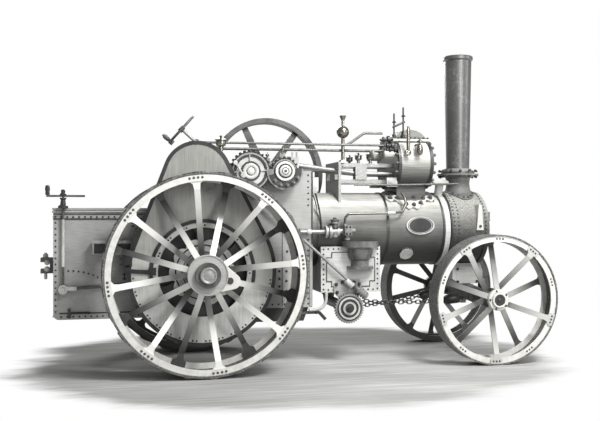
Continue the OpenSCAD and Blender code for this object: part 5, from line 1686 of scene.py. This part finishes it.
black_iron("plate_bolts", both_sides(many(nut(0.034, 0.02), plate_bolts, NEAR)))
curved = bent(at([1416, 1416, 1215], -440, [806, 609, 609]), 0.14, 14)
pale_casting("curved_bracket", tube(curved, 0.019, 14, NEAR))
damper = flat_bar(at([1290, 1335, 1408], -436, [578, 576, 497]), 0.036, 0.014)
black_iron("damper_lever", damper)
DOWN_SLOPE = (0.763, 0, -0.646)
collar = lathe([(0, 0), (0.030, 0), (0.034, 0.01), (0.034, 0.08), (0.040, 0.085), (0.040, 0.10),
    (0, 0.10)],
    1630, -505, 940, DOWN_SLOPE, 20)
pale_casting("column_collar", collar)
print("steering is dressed, pieces", len(made))

# %% [markdown]
# The steering chain's links stand and lie in turn. A link is a ring drawn out into an oval, and
# the links follow a shallow curve, because a slack chain hangs. A spring in a round box takes up
# the shocks. The chain crosses the axle's pivot, and here it is one fixed piece that rides on no
# body.


# %% Steering chains
def oval_link(length, width, wire, sides, steps):
    """Chain link along x: a round wire on an oval path, straight sides with half-round ends."""
    a = round_angles(steps)
    straight = (length - width) / 2
    path = np.column_stack([
        straight * np.sign(np.cos(a)) + width / 2 * np.cos(a), width / 2 * np.sin(a), 0 * a
    ])
    outward_way = np.column_stack([np.cos(a), np.sin(a), 0 * a])
    b = round_angles(sides)[:, None]
    rows = path[:, None] + wire * (np.cos(b) * outward_way[:, None] + np.sin(b) * np.array(ABOVE))
    return grid(np.vstack([rows, rows[:1]]))


def hanging(a, b, sag, count):
    """Places of links from a to b, lowered by 4 sag t (1 - t), and each link's direction."""
    t = (np.arange(count) + 0.5)[:, None] / count
    places = a + t * (b - a) - np.array([0, 0, sag]) * 4 * t * (1 - t)
    return places, directions_of(places)


link = oval_link(0.066, 0.040, 0.0065, 8, 16)
across_link = rolled(link, [[0, 0, -1], [0, 1, 0], [1, 0, 0]])
standing_link = rolled(across_link, [[0, 1, 0], [-1, 0, 0], [0, 0, 1]])
spring_box = turned([(0, -0.10), (0.034, -0.10), (0.055, -0.07), (0.055, 0.07), (0.034, 0.10),
    (0, 0.10)], 20)
LINK_PITCH = 0.050
BOX_LINK = 24
for name, side, start_z in (("chain_right", -1, 698), ("chain_left", 1, 550)):
    start = at(1706, side * 278, start_z)
    end = at(3133, side * 420, 710)
    count = int(np.linalg.norm(end - start) / LINK_PITCH)
    places, way = hanging(start, end, 0.045, count)
    box = many(spring_box, places[BOX_LINK], way[BOX_LINK])
    links = joined(
        many(across_link, places[0::2], way[0::2]), many(standing_link, places[1::2], way[1::2]),
        box,
    )
    chain = piece(name, links, None, dark_metal, 60)
    tuple(at(2500, side * 380, 700))
    tuple(at(3110, side * 420, 700))
    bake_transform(chain)
    if side < 0:
        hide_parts("steering_chains")
print("chain links", count)

# %% [markdown]
# The perch under the smokebox is a box casting, closed on each side by a plain plate with a bolt
# in each corner. The plate ends above the axle, so that the axle can swing under it. The axle's
# spring is clamped by two bands.
# %% Perch and front axle
side_plate = flat_bar(at([3108, 3392], -168, [948, 948]), 0.196, 0.006)
piece("perch_plates", both_sides(side_plate), "root", horn_paint)
corners = at([3126, 3374, 3126, 3374], -174, [870, 870, 1026, 1026])
black_iron("perch_bolts", both_sides(many(nut(0.030, 0.016), corners, NEAR)))
clamp = [(-0.052, 0), (0.052, 0), (0.052, 0.058), (-0.052, 0.058)]
clamps = joined(
    swept([at(FRONT_X, -120, 788), at(FRONT_X, -84, 788)], clamp),
    swept([at(FRONT_X, 84, 788), at(FRONT_X, 120, 788)], clamp),
)
piece("spring_clamps", clamps, "front_axle", light_casting)
knuckle = joined(
    lathe([(0, 0), (0.060, 0), (0.066, 0.01), (0.060, 0.04), (0.048, 0.05), (0.042, 0.06),
        (0, 0.06)],
        FRONT_X, -670, 730, NEAR, 28),
    lathe([(0, 0), (0.016, 0), (0.016, 0.06), (0, 0.062)], 3205, -400, 720, BEHIND, 16),
)
piece("axle_ends", both_sides(knuckle), "front_axle", forged_iron)
print("all pieces", len(made))

# %% [markdown]
# The ground is shaded with level strokes, darker in some drifts than in others. Close to the
# engine it takes the soft shadows, and further out it fades to bare white, as a drawn ground does
# on a page. The fade follows the distance from the engine's middle, and a little noise breaks its
# edge.
# %% Floor
ground, tree, shader, place = new_finish("studio paper", 0.85)
drifts = dirty(tree, place, 900, 4, stretch=(0.35, 1, 1))
strokes = dirty(tree, place, 45, 3, stretch=ALONG)
both = add(tree, "ShaderNodeMix", links={"A": drifts, "B": strokes}, values={"Factor": 0.5},
    data_type="FLOAT")
wash = add(tree, "ShaderNodeValToRGB", links={"Fac": both.outputs["Result"]},
    stops=[(0.34, "868684"), (0.50, "a0a09e"), (0.66, "c0c0bd")]).outputs["Color"]
tree.links.new(wash, shader.inputs["Base Color"])
FADE_LONG, FADE_WIDE = 3.3, 2.8
far = distance(tree, place, (0, 0, 0), (1 / FADE_LONG, 1 / FADE_WIDE, 1))
ragged = add(tree, "ShaderNodeMath", links={0: drifts, 2: far}, values={1: 0.4},
    operation="MULTIPLY_ADD").outputs["Value"]
fade = add(tree, "ShaderNodeMapRange", links={"Value": ragged},
    values={"From Min": 1.04, "From Max": 1.20}, interpolation_type="SMOOTHSTEP").outputs["Result"]
glow = add(tree, "ShaderNodeEmission", values={"Color": WHITE, "Strength": 1.0})
blend = add(tree, "ShaderNodeMixShader",
    links={0: fade, 1: shader.outputs["BSDF"], 2: glow.outputs["Emission"]})
tree.links.new(blend.outputs["Shader"], tree.nodes["Material Output"].inputs["Surface"])
FLOOR_HALF = 30.0
sheet = bpy.data.meshes.new("floor")
floor_corners = np.array([(-1, -1, 0), (1, -1, 0), (1, 1, 0), (-1, 1, 0)]) * FLOOR_HALF
sheet.from_pydata(floor_corners.tolist(), [], [(0, 1, 2, 3)])
sheet.materials.append(ground)
floor = bpy.data.objects.new("floor", sheet)
scene.collection.objects.link(floor)
print("floor is", 2 * FLOOR_HALF, "metres wide")

# %% [markdown]
# At the end the pieces and their faces are counted. What was added may stand out past the
# construction model's box by a bolt's height at most.
# %% Sizes and finish
print("pieces", len(made), "faces", sum(count for _, count in made))
